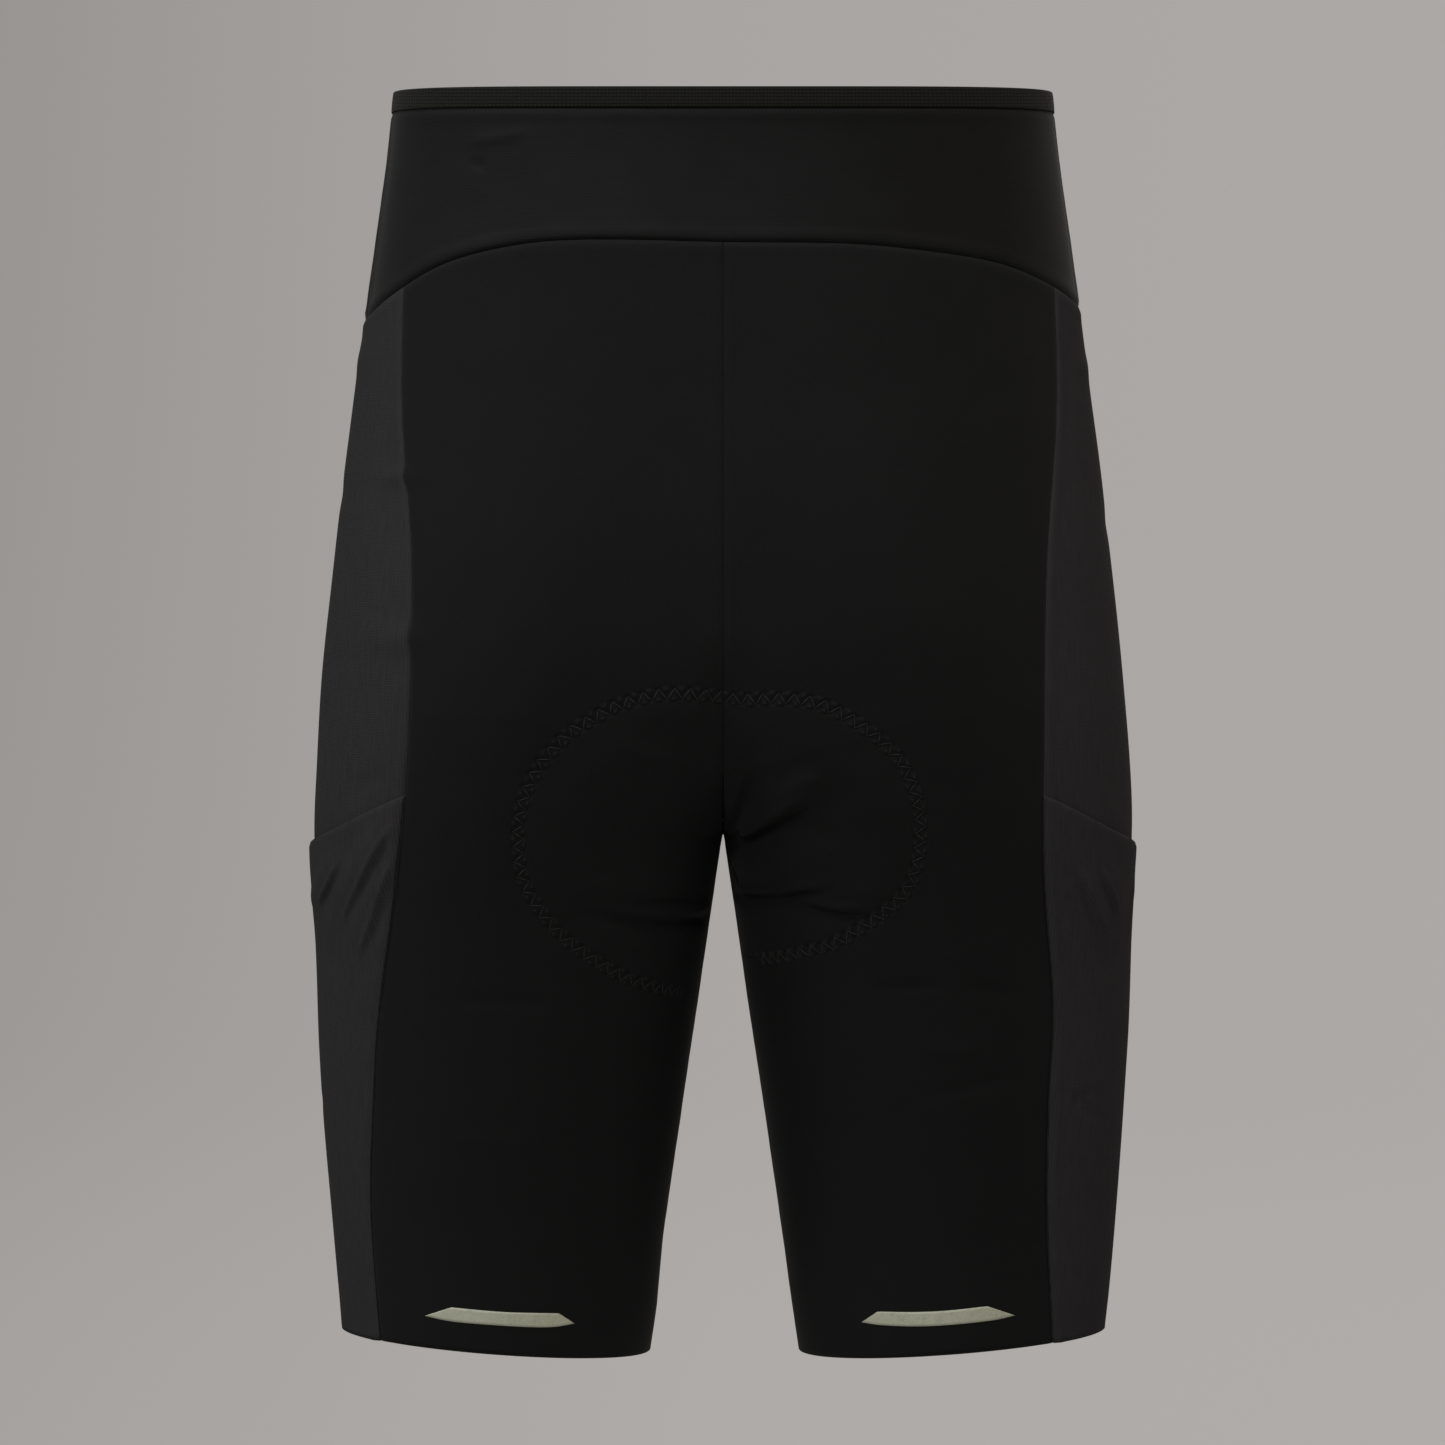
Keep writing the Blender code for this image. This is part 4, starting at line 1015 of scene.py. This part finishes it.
def makePad(c):
    piece = roundedPiece("seat_pad_foam", wholeSolid("seat_pad"), c["levels"])
    mesh = piece.data
    points, normals = readPoints(mesh), readNormals(mesh)
    # The wearer's side faces in and up. Two lanes run from front to back, and short ones cross the thighs.
    upward = smoothStep((normals[:, 2] - c["lowest"]) / c["slope"])
    inward = upward * (np.einsum("ij,ij->i", normals[:, :2], -points[:, :2]) > c["outward"])
    across = np.abs(points[:, 0]) / mm
    press = bell((across - c["lane"]) / c["width"])
    for height in c["cross"]:
        press += bell((points[:, 2] / mm - height) / c["width"]) * smoothStep((across - c["lane"]) / c["crossReach"])
    points -= normals * (c["depth"] * mm * inward * np.clip(press, 0, 1))[:, None]
    pressHollows(points, normals, backHollows)
    writePoints(mesh, points)
    mesh.materials.append(fleece)
    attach(piece, "root")
    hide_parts("seat_pad")
    print("pad", len(mesh.polygons), "faces")


makePad(pad)


# Seam allowances: the overlocked edges behind every seam, which close the fine gap between two pieces
tape = {"half": 3.2, "depth": 1.35, "fall": 0.2, "thick": 0.5, "skip": 0.8}


def makeTapes(c):
    bm = bmesh.new()
    source = bm.verts.layers.int.new("source")
    known = np.full((1, 3), 9.0)  # a far place, until the first panel's seams are known
    for name in ("back_panel_left", "back_panel_right", "front_panel_left", "front_panel_right",
                 "side_panel_left", "side_panel_right", "waistband_back", "waistband_front"):
        mesh = made[name + "_cloth"].data
        points, normals = readPoints(mesh), readNormals(mesh)
        edges = sewnEdges(points, boundaryEdges(mesh))
        edges = edges[distancesTo(known, points[edges].mean(axis=1)) > c["skip"] * mm]
        across = np.zeros_like(points)
        for a, b in edges:
            run = points[b] - points[a]
            side = np.cross(normals[a] + normals[b], run)
            side /= np.linalg.norm(side) + 1e-12
            for end in (a, b):
                across[end] += side if np.dot(across[end], side) >= 0 else -side
        across /= np.linalg.norm(across, axis=1)[:, None] + 1e-12
        spots = {}
        for end in sorted(set(edges.ravel().tolist())):
            spot = bm.verts.new(points[end] - normals[end] * c["depth"] * mm)
            spot[source] = end
            spots[end] = spot
        middle = [bm.edges.new((spots[a], spots[b])) for a, b in edges.tolist()]
        for way in (1, -1):
            grown = bmesh.ops.extrude_edge_only(bm, edges=middle)["geom"]
            for spot in grown:
                if isinstance(spot, bmesh.types.BMVert):
                    end = spot[source]
                    spot.co += Vector(across[end] * way * c["half"] * mm - normals[end] * c["fall"] * mm)
        known = np.concatenate([known, edgePlaces(points, edges)])
    bmesh.ops.recalc_face_normals(bm, faces=bm.faces)
    piece = smoothPiece("seam_allowances", bm)
    mesh = piece.data
    mesh.materials.append(thread)
    wall = applySheetWall(piece, c["thick"])
    wall.offset = 0
    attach(piece, "root")
    made["tapes"] = piece
    print("seam allowances", len(mesh.polygons), "faces")


makeTapes(tape)


def threadRows(name, rows, radius, material):
    # Sewing threads: one poly curve for each row, made a mesh
    data = bpy.data.curves.new(name, "CURVE")
    data.dimensions = "3D"
    data.bevel_depth = radius * mm
    data.bevel_resolution = 0
    for row in rows:
        line = data.splines.new("POLY")
        line.points.add(len(row) - 1)
        for point, place in zip(line.points, row):
            point.co = (*place, 1)
    holder = newPiece(name + "Curve", data)
    bpy.context.view_layer.update()
    mesh = bpy.data.meshes.new_from_object(holder.evaluated_get(bpy.context.evaluated_depsgraph_get()))
    bpy.data.objects.remove(holder)
    mesh.name = name
    piece = newPiece(name, mesh)
    mesh.materials.clear()
    mesh.materials.append(material)
    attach(piece, "root")
    made[name] = piece
    print("threads", name, len(mesh.polygons), "faces")


def swungRow(tree, places, c):
    # The thread swings from side to side of its line and dips into the cloth at each turn
    path, total = spacedPath(places, c["period"] / 2 * mm)
    row = []
    for i in range(len(path) - 1):
        a, b = Vector(path[i]), Vector(path[i + 1])
        normal = tree.find_nearest(a)[1]
        swing = normal.cross((b - a).normalized()) * c["reach"] * mm * (1 if i % 2 else -1)
        turn = tree.find_nearest(a + swing)
        row.append(turn[0] - turn[1] * c["dip"] * mm)
        spot = tree.find_nearest((a + b) / 2)
        if i < len(path) - 2:
            row.append(spot[0] + spot[1] * c["lift"] * mm)
    return row


def makeZigzags(c):
    rows = []
    for row, seenFrom, side in (("left", "back", "left"), ("right", "back", "right"),
                                ("frontLeft", "front", "left"), ("frontRight", "front", "right")):
        tree = treeOf(made[seenFrom + "_panel_" + side + "_cloth"])
        rows.append(swungRow(tree, onCloth(tree, seenFrom, c[row]), c))
    threadRows("pad_zigzag_threads", rows, c["thread"], padThreadPaintedHighlight)


makeZigzags(zigzag)

# Flat stitch that lies over the middle seam, and the short tacks that hold the ends of the pocket mouths
ladder = {"period": 1.9, "reach": 0.8, "thread": 0.14, "lift": 0.1, "dip": 0.1, "beside": 1.2, "every": 4}
tacks = {"period": 0.9, "reach": 1.1, "thread": 0.16, "lift": 0.1, "dip": 0.1,
         "pocket_left_cloth": [(-155.6, -320.6), (-151.6, -318.8), (-147.8, -317.4)],
         "pocket_right_cloth": [(155.6, -320.6), (151.6, -318.8), (147.8, -317.4)]}


def makeLadders(c, t):
    rows = []
    for panel in ("back_panel_left_cloth", "front_panel_left_cloth"):
        mesh = made[panel].data
        points = readPoints(mesh)
        rim = points[np.unique(boundaryEdges(mesh))]
        rim = rim[np.abs(rim[:, 0]) < c["beside"] * mm]
        rim = rim[np.argsort(rim[:, 2])[:: c["every"]]]
        rows.append(swungRow(treeOf(made[panel]), [Vector((0, y, z)) for x, y, z in rim], c))
    threadRows("middle_seam_threads", rows, c["thread"], thread)
    rows = []
    for panel in ("pocket_left_cloth", "pocket_right_cloth"):
        tree = treeOf(made[panel])
        rows.append(swungRow(tree, onCloth(tree, "back", t[panel]), t))
    threadRows("pocket_tack_threads", rows, t["thread"], thread)


makeLadders(ladder, tacks)
